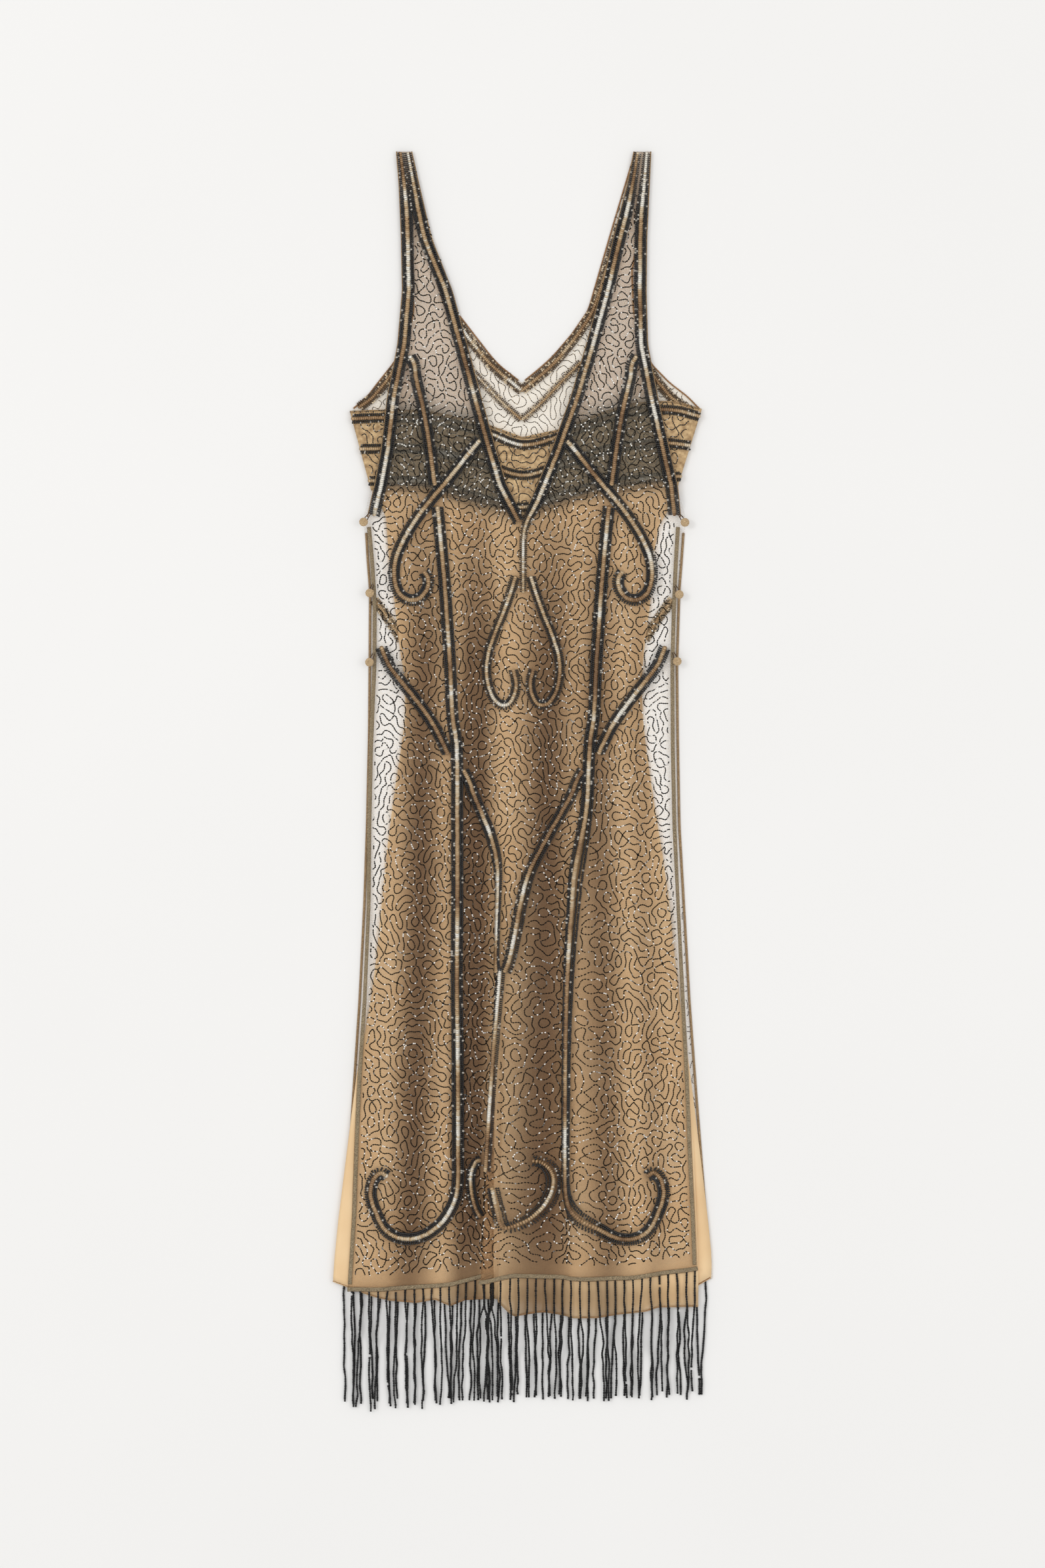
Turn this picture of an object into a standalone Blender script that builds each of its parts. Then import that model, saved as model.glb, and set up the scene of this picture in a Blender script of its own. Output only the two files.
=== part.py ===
"""A beaded net midi dress with its slip, laid flat, face up.

The cut of every cloth piece is given in millimetres as it is laid out: across, from
the centre front to the right, and drop, down from the shoulders. The shoulders lie
towards +Y, the surface is at Z = 0, and each layer rests on the one below it. The
front net and the front skirt rise in soft folds, and one deep fold beside the centre
rolls over to the left. Everything that lies on the front net takes its points from it.
"""

import math
import random

import bpy
from mathutils import Vector
from mathutils.bvhtree import BVHTree
from mathutils.geometry import barycentric_transform

MM = 0.001

# Heights of the layers above the surface, and their thicknesses
NET_THICK = 1.2
SLIP_THICK = 1.0
LAYER_GAP = 0.3
BACK_NET_TOP = NET_THICK
SLIP_BACK_BOTTOM = BACK_NET_TOP + LAYER_GAP
SLIP_FRONT_BOTTOM = SLIP_BACK_BOTTOM + SLIP_THICK + LAYER_GAP
BAND_THICK = 1.0
STRAP_BASE = 1.6
BUST_BASE = 5.6
SKIRT_BASE = 4.4
EDGE_BASE = 1.7
# Where the front net climbs from the straps to the bandeau and comes down to the skirt: drop, drop
CLIMB_DROPS = (215.0, 256.0)
DESCENT_DROPS = (385.0, 420.0)
# How it sinks beside the skirt: distances past the skirt's edge, and drops
SINK_BEYOND = (5.0, 16.0)
SINK_DROPS = (350.0, 372.0)

# Raised trims of beads and sequins, and the flat bindings
TRIM_WIDTH = 12.0
TRIM_THICK = 1.2
TRIM_GAP = 0.4
TRIM_MARGIN = 1.0
TRIM_PARTING = 0.6
BINDING_WIDTH = 3.5
BINDING_THICK = 1.0
SIDE_BINDING_TOP = 394.0
TOP_INSET = 0.12
SEAM_GAP = 0.5

# Front net: drop, outer edge left, neck edge left, neck edge right, outer edge right
FRONT_CUT = (
    (0, -133.4, -116.6, 115.9, 134.4),
    (35, -130.5, -108.9, 108.9, 132.7),
    (91, -128.2, -95.9, 94.5, 130.0),
    (146, -127.1, -74.2, 81.6, 129.4),
    (202, -131.9, -58.8, 66.2, 130.9),
    (258, -142.7, -43.8, 49.6, 141.4),
    (314, -149.2, -28.0, 29.4, 154.0),
    (350, -156.0, -17.0, 14.7, 162.0),
    (382, -163.5, 0.0, 0.0, 165.5),
    (388, -165.2, 0.2, 0.2, 165.6),
    (428, -161.4, 0.8, 0.8, 163.1),
    (475, -158.5, 1.2, 1.2, 161.0),
    (540, -158.9, 0.2, 0.2, 159.3),
    (624, -162.4, -1.3, -1.3, 159.7),
    (706, -164.2, -1.4, -1.4, 161.4),
    (790, -164.9, 0.1, 0.1, 165.2),
    (890, -169.0, 0.5, 0.5, 170.1),
    (970, -174.3, 0.0, 0.0, 174.3),
    (1045, -177.5, -0.2, -0.2, 177.1),
    (1120, -180.1, 0.2, 0.2, 180.6),
    (1185, -184.5, -0.7, -0.7, 183.0),
)
FRONT_V_DROP = 382
STRAP_ROWS = (0, 35, 91, 146, 202, 215)
BUST_ROWS = (236, 258, 286, 314, 350, 366, 382)
WAIST_ROWS = (388, 408, 428, 475, 540, 582, 624, 665)
FOLD_ROWS = (700, 735, 770, 799, 830, 862, 890, 919, 955, 992, 1030, 1065, 1100, 1135, 1162)
# Front net hem: fraction across from the left, drop
FRONT_HEM = (
    (0.0, 1196.0), (0.1, 1195.6), (0.2, 1193.5), (0.3, 1190.0), (0.37, 1184.0), (0.42, 1179.5),
    (0.47, 1187.0), (0.5, 1186.0), (0.55, 1180.0), (0.6, 1182.0), (0.7, 1185.0), (0.8, 1184.0),
    (0.9, 1179.0), (1.0, 1174.0),
)
# Columns of points, as fractions of a half above the V and of the whole width below it
STRAP_COLUMNS = (0.0, 0.5, 1.0)
BUST_COLUMNS = (0.0, 0.12, 0.3, 0.5, 0.7, 0.88, 1.0)
WAIST_COLUMNS = (
    0.0, 0.03, 0.06, 0.1, 0.19, 0.28, 0.37, 0.437, 0.5, 0.56, 0.64, 0.72, 0.8, 0.9, 0.94, 0.97, 1.0,
)
FOLD_COLUMNS = (
    0.0, 0.03, 0.06, 0.09, 0.14, 0.19, 0.235, 0.28, 0.325, 0.37, 0.42, 0.437, 0.452, 0.47, 0.488,
    0.5, 0.525, 0.56, 0.6, 0.64, 0.68, 0.72, 0.76, 0.8, 0.84, 0.88, 0.92, 0.96, 1.0,
)

# Back net: drop, outer edge left, neck edge left, neck edge right, outer edge right
BACK_CUT = (
    (0, -131.0, -119.0, 116.9, 131.0),
    (77, -121.0, -101.5, 93.8, 122.5),
    (125, -116.0, -86.8, 79.8, 114.8),
    (166, -115.5, -70.7, 67.9, 116.2),
    (191, -120.4, -51.5, 50.7, 122.5),
    (213.5, -131.6, -34.0, 31.5, 130.2),
    (224, -138.6, -24.5, 20.3, 136.5),
    (242, -153.0, -1.4, -1.4, 154.0),
    (257, -164.5, 2.0, 2.0, 173.6),
    (271.6, -181.7, 2.0, 2.0, 187.6),
    (291, -176.4, 1.0, 1.0, 179.2),
    (318.5, -168.7, 1.0, 1.0, 171.5),
    (338, -162.4, 1.0, 1.0, 166.0),
    (354, -159.6, 1.0, 1.0, 162.4),
    (386, -168.5, 1.0, 1.0, 171.5),
    (397, -166.3, 1.0, 1.0, 169.8),
    (428, -164.5, 1.0, 1.0, 167.7),
    (461, -161.9, 1.0, 1.0, 165.2),
    (540, -162.4, 0.0, 0.0, 162.8),
    (610, -163.0, 0.0, 0.0, 163.5),
    (706, -165.2, 0.0, 0.0, 165.2),
    (790, -168.0, 1.0, 1.0, 170.0),
    (890, -173.0, 1.0, 1.0, 175.7),
    (995, -180.0, 1.0, 1.0, 183.4),
    (1100, -187.0, 2.0, 2.0, 191.8),
    (1183, -192.5, 3.0, 3.0, 199.5),
)
BACK_V_DROP = 242
BACK_HEM = ((0.0, 1188.0), (0.5, 1186.0), (1.0, 1183.0))
BACK_COLUMNS = (0.0, 0.5, 1.0)

# Bandeau of the slip: across and drop of its top edge and of its lower edge
BODICE_TOP = (
    (-182.0, 272.3), (-145.6, 270.9), (-101.5, 272.3), (-59.5, 280.0), (-35.0, 287.0), (-0.7, 299.6),
    (35.7, 291.9), (66.5, 280.0), (108.5, 265.3), (143.5, 261.8), (164.5, 263.2), (187.6, 270.2),
)
BODICE_LOWER = (
    (-159.6, 355.6), (-130.0, 356.0), (-101.5, 357.0), (-59.5, 370.3), (-35.0, 377.3), (-0.7, 383.6),
    (27.3, 375.2), (52.0, 368.0), (77.0, 361.2), (122.5, 354.9), (143.0, 352.6), (162.4, 350.7),
)
BODICE_LEVELS = (0.0, 0.25, 0.5, 0.75, 1.0)
# Bands of beads across the bandeau: place between its top and lower edge, width
BODICE_BANDS = ((0.10, 10.0), (0.48, 10.0), (0.88, 10.0))

# Skirt of the slip: drop, left edge, right edge of the front, right edge of the back
SKIRT_CUT = (
    (355, -159.3, 162.4, 162.4),
    (379, -144.2, 150.5, 150.5),
    (393, -143.2, 142.1, 142.1),
    (426, -141.0, 136.5, 136.5),
    (476, -134.6, 133.0, 133.0),
    (523.6, -129.0, 126.7, 126.7),
    (554, -124.0, 124.3, 124.3),
    (596, -124.0, 125.6, 125.6),
    (624, -127.7, 128.8, 128.8),
    (679, -136.0, 136.5, 136.5),
    (734, -143.0, 145.6, 145.6),
    (790, -148.5, 153.3, 153.3),
    (845, -154.0, 158.9, 158.9),
    (890, -159.6, 164.5, 164.5),
    (970, -175.0, 172.0, 175.7),
    (1045, -184.5, 179.0, 185.0),
    (1120, -193.9, 182.0, 193.9),
    (1161, -198.0, 183.3, 198.0),
    (1184, -199.5, 183.8, 197.4),
)
# Skirt hems: fraction across from the left, drop
SKIRT_FRONT_HEM = (
    (0.0, 1186.0), (0.1, 1200.5), (0.15, 1205.5), (0.22, 1208.0), (0.27, 1204.0), (0.31, 1211.0),
    (0.35, 1205.0), (0.445, 1203.0), (0.48, 1207.5), (0.52, 1221.0), (0.57, 1217.0),
    (0.645, 1223.6), (0.7, 1223.6), (0.76, 1220.0), (0.83, 1216.6), (0.86, 1212.5), (1.0, 1211.7),
)
SKIRT_BACK_HEM = (
    (0.0, 1186.0), (0.2, 1197.0), (0.5, 1206.0), (0.7, 1213.0), (0.9, 1208.0), (0.965, 1190.0),
    (1.0, 1182.0),
)
SKIRT_BACK_ROWS = (400, 440, 476, 524, 554, 596, 679, 790, 890, 1045, 1161)
SKIRT_BACK_COLUMNS = (0.0, 0.2, 0.5, 0.7, 0.9, 0.965, 1.0)
# Least distance between a skirt's edge and its next column, and between its last two rows
SKIRT_EDGE_CLEAR = 3.5
SKIRT_HEM_CLEAR = 3.0

# Soft folds: fraction across the front net, height at the hem, half width
SOFT_FOLDS = (
    (0.085, 5.0, 28.0),
    (0.275, 6.0, 28.0),
    (0.685, 6.0, 28.0),
    (0.835, 6.0, 28.0),
    (0.970, 3.0, 22.0),
)
# How far the soft folds have risen: drop, share of their height
SOFT_RISE = ((420, 0.0), (540, 0.3), (1188, 1.0))
# The deep fold that rolls over: drop, height
ROLL_RISE = (
    (680, 0.0), (715, 0.7), (799, 5.2), (862, 7.4), (919, 9.6), (992, 12.2), (1065, 14.7), (1188, 18.4),
)
ROLL_CREST = -6.3
ROLL_LEFT = 24.5
ROLL_RIGHT = 63.0
ROLL_LEAN = -1.9
# The lean fades out to each side of the fold, and towards the waist
LEAN_LEFT = (-59.5, -31.0)
LEAN_RIGHT = (60.0, 87.5)
LEAN_DROP = (665.0, 770.0)
SLIP_FOLD_SHARE = 0.5
MOST_STRETCH = 2.3

# Ornament on the front net: distance from the mirror line, drop. A curve runs through them.
ORNAMENT_CENTRE = ((645, 0.0), (750, -2.1), (890, -6.3))
PRINCESS_UPPER = ((114, 224), (112.7, 236), (104.3, 273), (98.7, 306), (93.8, 342))
PRINCESS = (
    (89, 381), (85.8, 415), (82.3, 454), (79.5, 496), (76.7, 537), (74, 593), (69.8, 623), (67.9, 706),
    (65.7, 790), (63.7, 872), (62.3, 948), (62, 1050), (63, 1090), (70.7, 1111), (83.3, 1127),
    (103, 1139), (123, 1139.6), (138.6, 1130), (149, 1110), (153.6, 1093), (150.5, 1078),
    (143, 1071), (136, 1074.5),
)
BUST_SCROLL = (
    (51, 310), (61.5, 323), (79, 345), (98.5, 368), (114, 388.5), (125, 407), (133.5, 427.5),
    (135, 447.5), (130, 463.5), (120, 470.5), (109, 469), (101, 459.5), (99.7, 448.5), (104, 441),
)
DROP_SCROLL = (
    (12.8, 462), (22, 487), (30.5, 508), (36.8, 528), (38.4, 548), (34, 568), (25.6, 579.6),
    (15.8, 580), (9, 569), (7.5, 557), (10.5, 544),
)
HIP_LINE = ((149, 520), (141, 538.5), (128, 556), (114, 573.5), (101, 591), (91.4, 606), (84.5, 620))
VEE_LINE = (
    (56, 661), (51.8, 673.5), (40, 698), (31.5, 715), (19, 750), (14.7, 778), (11.2, 822.5), (8, 850),
)
CENTRE_STEM = ((0, 858), (0, 950), (0, 1068))
HEM_SCROLL_RIGHT = (
    (8, 1085), (14, 1111), (19, 1127), (31, 1122), (40, 1111), (46, 1097), (48.5, 1080),
    (46.5, 1068), (41, 1059.5), (34.5, 1058),
)
HEM_SCROLL_LEFT = (
    (35, 1118), (41, 1110), (46, 1097), (48.5, 1080), (46.5, 1068), (41, 1059.5), (36, 1058),
)
# Name, route and width of each line that has a mirrored partner
ORNAMENTS = (
    ("princess_upper", PRINCESS_UPPER, 12.0),
    ("princess_trim", PRINCESS, 12.5),
    ("bust_scroll", BUST_SCROLL, 12.0),
    ("drop_scroll", DROP_SCROLL, 10.0),
    ("hip_line", HIP_LINE, 12.0),
    ("vee_line", VEE_LINE, 11.5),
)
SCROLL_WIDTH = 11.0
STEM_WIDTH = 10.0
# The neck bands meet under the V: across, drop, half width
TAIL_ROUTE = (
    (15.6, 366.0, 6.0), (11.6, 374.0, 5.6), (4.2, 388.0, 4.7), (0.6, 402.0, 4.0), (0.0, 425.0, 4.0),
    (0.0, 450.0, 3.6),
)
LEFT_NECK_END = (-4.7, 388.4, 6.0)
STATION_LENGTH = 26.0
STATION_SHORT = 3.0
STATION_TURN = math.radians(26)
CURVE_STEPS = 12
# Where each triangle of a ribbon is tested against the cloth: shares of its three corners
TEST_STEPS = 6
TEST_WEIGHTS = tuple(
    (i / TEST_STEPS, j / TEST_STEPS, (TEST_STEPS - i - j) / TEST_STEPS)
    for i in range(TEST_STEPS + 1)
    for j in range(TEST_STEPS + 1 - i)
)
BAND_END_CLEAR = 1.5

# Trims on the back net where it shows: distance from the centre, drop
BACK_CENTRE = -1.4
BACK_NECK = ((49.5, 203.5), (38.0, 217.5), (27.0, 228.5), (0.4, 250.5))
BACK_CHEVRON = ((43.0, 240.0), (22.0, 262.0), (0.4, 281.5))
BACK_ARMHOLE = ((141.0, 239.5), (149.0, 249.0), (158.0, 259.0))
BACK_TRIM_WIDTH = 10.0
BACK_TRIM_THICK = 1.0
CHEVRON_WIDTH = 8.0

# Fringe of bead strands
STRAND_PITCH = 9.5
STRAND_LENGTH = 126.5
STRAND_VARIES = 3.5
STRAND_NECK = 2.0
STRAND_WIDE = 1.4
STRAND_HIGH = 1.2
STRIP_DEEP = 2.6
STRIP_GAP = 0.4
STRAND_SPACING = 2.4
FRONT_REST = 2.6
BACK_STRAND_LIFT = 0.15
BACK_STRAND_HIGH = 1.15
ROOT_MARGIN = 0.3
MOST_SWAY = 2.5
# Lengths of a strand: what stays level past the skirt's hem, moves aside, and comes down
STRAND_CLEAR = 4.0
STRAND_APART = 22.0
STRAND_LANDING = 28.0

# Covered buttons on the edges of the back net: across, drop
BUTTONS_LEFT = ((-167.3, 389.0), (-160.8, 463.5), (-161.1, 536.0))
BUTTONS_RIGHT = ((169.6, 389.5), (163.6, 465.0), (161.5, 535.0))
BUTTON_SIDES = 12
SHANK_RADIUS = 1.1
DISC_BOTTOM = 7.1
# Button profile: radius, height above the underside of the disc
BUTTON_PROFILE = ((3.6, 0.0), (4.6, 0.9), (4.5, 1.8), (3.4, 2.8), (1.8, 3.3))
BUTTON_TOP = 3.5
LOOP_HEIGHT = 6.4
LOOP_THREAD = 0.5
LOOP_RADIUS = 2.1
LOOP_REACH = 9.5
LOOP_INWARD = 2.4
LOOP_STEPS = 6
LOOP_PARTING = 0.8
LOOP_OPEN = 80

# Colours: name, red, green, blue, roughness, metallic
FINISHES = {
    "net": (0.30, 0.24, 0.16, 0.55, 0.3),
    "slip": (0.72, 0.54, 0.33, 0.65, 0.0),
    "trim": (0.42, 0.30, 0.17, 0.35, 0.6),
    "binding": (0.33, 0.27, 0.19, 0.6, 0.2),
    "fringe": (0.02, 0.02, 0.02, 0.3, 0.0),
    "button": (0.58, 0.46, 0.30, 0.7, 0.0),
    "loop": (0.09, 0.06, 0.04, 0.7, 0.0),
}


def clear_scene():
    """Take away whatever the scene holds."""
    for thing in list(bpy.data.objects):
        bpy.data.objects.remove(thing, do_unlink=True)


def between(table, position, column=1):
    """Value of a column, read in a straight line between the rows of a table."""
    if position <= table[0][0]:
        return table[0][column]
    for first, second in zip(table, table[1:]):
        if position <= second[0]:
            share = (position - first[0]) / (second[0] - first[0])
            return first[column] + share * (second[column] - first[column])
    return table[-1][column]


def share_of(value, span):
    """How far a value has come from the start of a span, 0, to its end, 1."""
    return (value - span[0]) / (span[1] - span[0])


def ease(value):
    """Rise from 0 to 1 with level ends."""
    held = min(max(value, 0.0), 1.0)
    return held * held * (3.0 - 2.0 * held)


def mound(distance, half_width):
    """Squared cosine: 1 in the middle and 0 at the half width."""
    if abs(distance) >= half_width:
        return 0.0
    return math.cos(0.5 * math.pi * distance / half_width) ** 2


def fold_height(across, drop):
    """Height of the front net's folds above where it would lie flat."""
    left = between(FRONT_CUT, drop, 1)
    right = between(FRONT_CUT, drop, 4)
    rise = between(SOFT_RISE, drop)
    height = 0.0
    for fraction, top, half_width in SOFT_FOLDS:
        crest = left + fraction * (right - left)
        height += rise * top * mound(across - crest, half_width)
    flank = ROLL_LEFT if across < ROLL_CREST else ROLL_RIGHT
    return height + between(ROLL_RISE, drop) * mound(across - ROLL_CREST, flank)


def lean(across, drop):
    """Sideways shift of the cloth for each millimetre it rises, where the deep fold rolls over."""
    beside = ease(share_of(across, LEAN_LEFT)) * (1.0 - ease(share_of(across, LEAN_RIGHT)))
    return ROLL_LEAN * beside * ease(share_of(drop, LEAN_DROP))


def stretch(across, drop, share=1.0):
    """Height that a wall one millimetre thick takes up along the lean, on the slope of the fold."""
    step = 1.0
    rise = fold_height(across + step, drop) - fold_height(across - step, drop)
    slope = share * rise / (2.0 * step)
    along = 1.0 + lean(across, drop) * slope
    return min(max(math.hypot(along, slope), 1.0), MOST_STRETCH)


def placed(across, drop, height):
    """Point in the scene of a point of the cut at a height, with the lean applied."""
    shifted = across + lean(across, drop) * (height - SKIRT_BASE)
    return Vector((shifted, -drop, height))


def front_base(across, drop):
    """Height at which the front net lies: on the straps, the bandeau, the skirt or the back net."""
    climb = min(share_of(drop, CLIMB_DROPS), 1.0)
    descent = ease(share_of(drop, DESCENT_DROPS))
    base = STRAP_BASE + (BUST_BASE - STRAP_BASE) * max(climb, 0.0) + (SKIRT_BASE - BUST_BASE) * descent
    edge = between(SKIRT_CUT, drop, 1 if across < 0 else 2)
    beyond = abs(across) - abs(edge)
    outside = ease(share_of(beyond, SINK_BEYOND)) * ease(share_of(drop, SINK_DROPS))
    return base + (EDGE_BASE - base) * outside


def front_height(across, drop):
    """Height of the underside of the front net."""
    return front_base(across, drop) + fold_height(across, drop)


def add_mesh(name, points, faces, finish):
    """Make a closed body from points in millimetres, shaded smooth except at its sharp edges."""
    mesh = bpy.data.meshes.new(name)
    mesh.from_pydata([tuple(MM * value for value in point) for point in points], [], faces)
    mesh.shade_smooth()
    mesh.set_sharp_from_angle(angle=math.radians(50))
    mesh.materials.append(material(name, finish))
    thing = bpy.data.objects.new(name, mesh)
    bpy.context.collection.objects.link(thing)
    return thing


def material(name, finish):
    """The piece's own material, from the table of finishes."""
    red, green, blue, roughness, metallic = FINISHES[finish]
    made = bpy.data.materials.new(name)
    made.use_nodes = True
    made.diffuse_color = (red, green, blue, 1.0)
    shader = made.node_tree.nodes["Principled BSDF"]
    shader.inputs["Base Color"].default_value = (red, green, blue, 1.0)
    shader.inputs["Roughness"].default_value = roughness
    shader.inputs["Metallic"].default_value = metallic
    return made


def solid_from_sheet(name, lower, upper, triangles, finish):
    """Close an upper and a lower copy of one sheet with a rim along its open edges."""
    count = len(upper)
    faces = [tuple(corners) for corners in triangles]
    faces += [(count + a, count + c, count + b) for a, b, c in triangles]
    edges = {(a, b) for corners in triangles for a, b in zip(corners, corners[1:] + corners[:1])}
    for a, b in sorted(edges):
        if (b, a) not in edges:
            faces.append((b, a, count + a, count + b))
    return add_mesh(name, list(upper) + list(lower), faces, finish)


def zip_rows(first, second, triangles):
    """Join an upper and a lower row of (place across, index) with triangles, from left to right."""
    i = 0
    j = 0
    while i < len(first) - 1 or j < len(second) - 1:
        left_over = i == len(first) - 1
        if left_over or (j < len(second) - 1 and second[j + 1][0] <= first[i + 1][0]):
            triangles.append((first[i][1], second[j][1], second[j + 1][1]))
            j += 1
        else:
            triangles.append((first[i][1], second[j][1], first[i + 1][1]))
            i += 1


class Cloth:
    """A sheet of cloth: its points in the cut, its triangles, and both faces in the scene."""

    def __init__(self, name, cut, triangles, lower_height, thickness, finish, share=0.0):
        """Lay the cut out at a height that may vary, with folds of a share of the net's."""
        self.cut = cut
        self.triangles = triangles
        self.share = share
        self.lower = []
        self.upper = []
        for across, drop in cut:
            height = lower_height(across, drop)
            wall = thickness * (stretch(across, drop, share) if share else 1.0)
            self.lower.append(placed(across, drop, height) if share else Vector((across, -drop, height)))
            top = height + wall
            self.upper.append(placed(across, drop, top) if share else Vector((across, -drop, top)))
        flat = [Vector((across, -drop, 0.0)) for across, drop in cut]
        self.flat = flat
        self.search = BVHTree.FromPolygons(flat, triangles)
        solid_from_sheet(name, self.lower, self.upper, triangles, finish)

    def on_top(self, across, drop):
        """The point of the upper face over a point of the cut."""
        spot = Vector((across, -drop, 0.0))
        found = self.search.find_nearest(spot)
        near, index = found[0], found[2]
        a, b, c = self.triangles[index]
        return barycentric_transform(
            near, self.flat[a], self.flat[b], self.flat[c], self.upper[a], self.upper[b], self.upper[c]
        )

    def lifted(self, across, drop, distance):
        """The shift that raises a point of the upper face by a distance, along the lean."""
        if not self.share:
            return Vector((0.0, 0.0, distance))
        rise = distance * stretch(across, drop, self.share)
        return Vector((lean(across, drop) * rise, 0.0, rise))


def edge_to_edge(table, drop, half, fraction):
    """Place across of a fraction of the left half, 0, or the right half, 1, of a panel."""
    outer, inner = ((1, 2), (3, 4))[half]
    start = between(table, drop, outer)
    return start + fraction * (between(table, drop, inner) - start)


def halves_of(columns):
    """Split fractions of the whole width into fractions of each half."""
    left = tuple(2.0 * f for f in columns if f <= 0.5)
    return left, tuple(2.0 * f - 1.0 for f in columns if f >= 0.5)


def mirrored(columns):
    """Fractions of each half that run from the outer edge to the neck on both sides."""
    return columns, tuple(1.0 - f for f in reversed(columns))


def panel_grid(table, v_drop, rows, hem):
    """Points, triangles and hem of a net panel: two halves with a strap each, joined below the V.

    Each row gives its drop and the fractions of its two halves. The last row is the hem.
    """
    cut = []
    triangles = []
    before = None
    for drop, *columns in rows:
        left = between(table, drop, 1)
        width = between(table, drop, 4) - left
        row = []
        for half in (0, 1):
            entries = []
            for fraction in columns[half]:
                if half == 1 and fraction == 0.0 and drop >= v_drop:
                    entries.append((0.0, row[0][-1][1]))
                    continue
                across = edge_to_edge(table, drop, half, fraction)
                depth = between(hem, (across - left) / width) if drop == rows[-1][0] else drop
                entries.append((fraction, len(cut)))
                cut.append((across, depth))
            row.append(entries)
        if before:
            zip_rows(before[0], row[0], triangles)
            zip_rows(before[1], row[1], triangles)
        before = row
    return cut, triangles, [entry[1] for entry in before[0] + before[1][1:]]


def front_panel():
    """The front net, cut whole with its straps."""
    rows = [(drop, *mirrored(STRAP_COLUMNS)) for drop in STRAP_ROWS]
    rows += [(drop, *mirrored(BUST_COLUMNS)) for drop in BUST_ROWS]
    rows += [(drop, *halves_of(WAIST_COLUMNS)) for drop in WAIST_ROWS]
    rows += [(drop, *halves_of(FOLD_COLUMNS)) for drop in FOLD_ROWS]
    rows.append((FRONT_CUT[-1][0], *halves_of(FOLD_COLUMNS)))
    cut, triangles, hem = panel_grid(FRONT_CUT, FRONT_V_DROP, rows, FRONT_HEM)
    return Cloth("panel_front", cut, triangles, front_height, NET_THICK, "net", 1.0), hem


def back_panel():
    """The back net, cut whole with its straps, flat on the surface."""
    rows = [(row[0], *mirrored(BACK_COLUMNS)) for row in BACK_CUT]
    cut, triangles, hem = panel_grid(BACK_CUT, BACK_V_DROP, rows, BACK_HEM)
    return Cloth("panel_back", cut, triangles, lambda across, drop: 0.0, NET_THICK, "net"), hem


def bodice(name, bottom):
    """One layer of the bandeau, from its top edge to its lower edge."""
    cut = []
    triangles = []
    before = None
    for level in BODICE_LEVELS:
        row = []
        for number, (top, lower) in enumerate(zip(BODICE_TOP, BODICE_LOWER)):
            row.append((number, len(cut)))
            cut.append(tuple(a + level * (b - a) for a, b in zip(top, lower)))
        if before:
            zip_rows(before, row, triangles)
        before = row
    return Cloth(name, cut, triangles, lambda across, drop: bottom, SLIP_THICK, "slip")


def skirt_row(drop, columns, cut, depth_at):
    """One row of the front skirt: the front net's columns that lie inside it, and its two edges."""
    left = between(SKIRT_CUT, drop, 1)
    right = between(SKIRT_CUT, drop, 2)
    net_left = between(FRONT_CUT, drop, 1)
    net_width = between(FRONT_CUT, drop, 4) - net_left
    places = [left, right]
    for half, fractions in enumerate(halves_of(columns)):
        for fraction in fractions[half:]:
            across = edge_to_edge(FRONT_CUT, drop, half, fraction)
            if left + SKIRT_EDGE_CLEAR < across < right - SKIRT_EDGE_CLEAR:
                places.append(across)
    row = []
    for across in sorted(places):
        row.append(((across - net_left) / net_width, len(cut)))
        cut.append((across, depth_at(across)))
    return row


def skirt_hem(table, across):
    """Drop of a skirt hem at a place across."""
    left, right = SKIRT_CUT[-1][1], SKIRT_CUT[-1][3]
    return between(table, (across - left) / (right - left))


def front_skirt():
    """The front of the slip's skirt, in the front net's own rows, so that their folds nest."""
    cut = []
    triangles = []
    width = SKIRT_CUT[0][2] - SKIRT_CUT[0][1]
    before = []
    for across in [SKIRT_CUT[0][1]] + [place for place, _ in BODICE_LOWER[1:-1]] + [SKIRT_CUT[0][2]]:
        before.append(((across - SKIRT_CUT[0][1]) / width, len(cut)))
        cut.append((across, between(BODICE_LOWER, across) + SEAM_GAP))
    last = FRONT_CUT[-1][0]

    def beside_net_hem(across):
        """Drop of the front net's hem, held above the skirt's own."""
        share = (across - FRONT_CUT[-1][1]) / (FRONT_CUT[-1][4] - FRONT_CUT[-1][1])
        return min(between(FRONT_HEM, share), skirt_hem(SKIRT_FRONT_HEM, across) - SKIRT_HEM_CLEAR)

    rows = [(drop, WAIST_COLUMNS, lambda across, drop=drop: drop) for drop in WAIST_ROWS[1:]]
    rows += [(drop, FOLD_COLUMNS, lambda across, drop=drop: drop) for drop in FOLD_ROWS]
    rows.append((last, FOLD_COLUMNS, beside_net_hem))
    rows.append((last, FOLD_COLUMNS, lambda across: skirt_hem(SKIRT_FRONT_HEM, across)))
    for drop, columns, depth_at in rows:
        row = skirt_row(drop, columns, cut, depth_at)
        zip_rows(before, row, triangles)
        before = row

    def height(across, drop):
        """Height of the underside: it rises a share as far as the net over it."""
        return SLIP_FRONT_BOTTOM + SLIP_FOLD_SHARE * fold_height(across, drop)

    return Cloth("skirt_front", cut, triangles, height, SLIP_THICK, "slip", SLIP_FOLD_SHARE)


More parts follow.
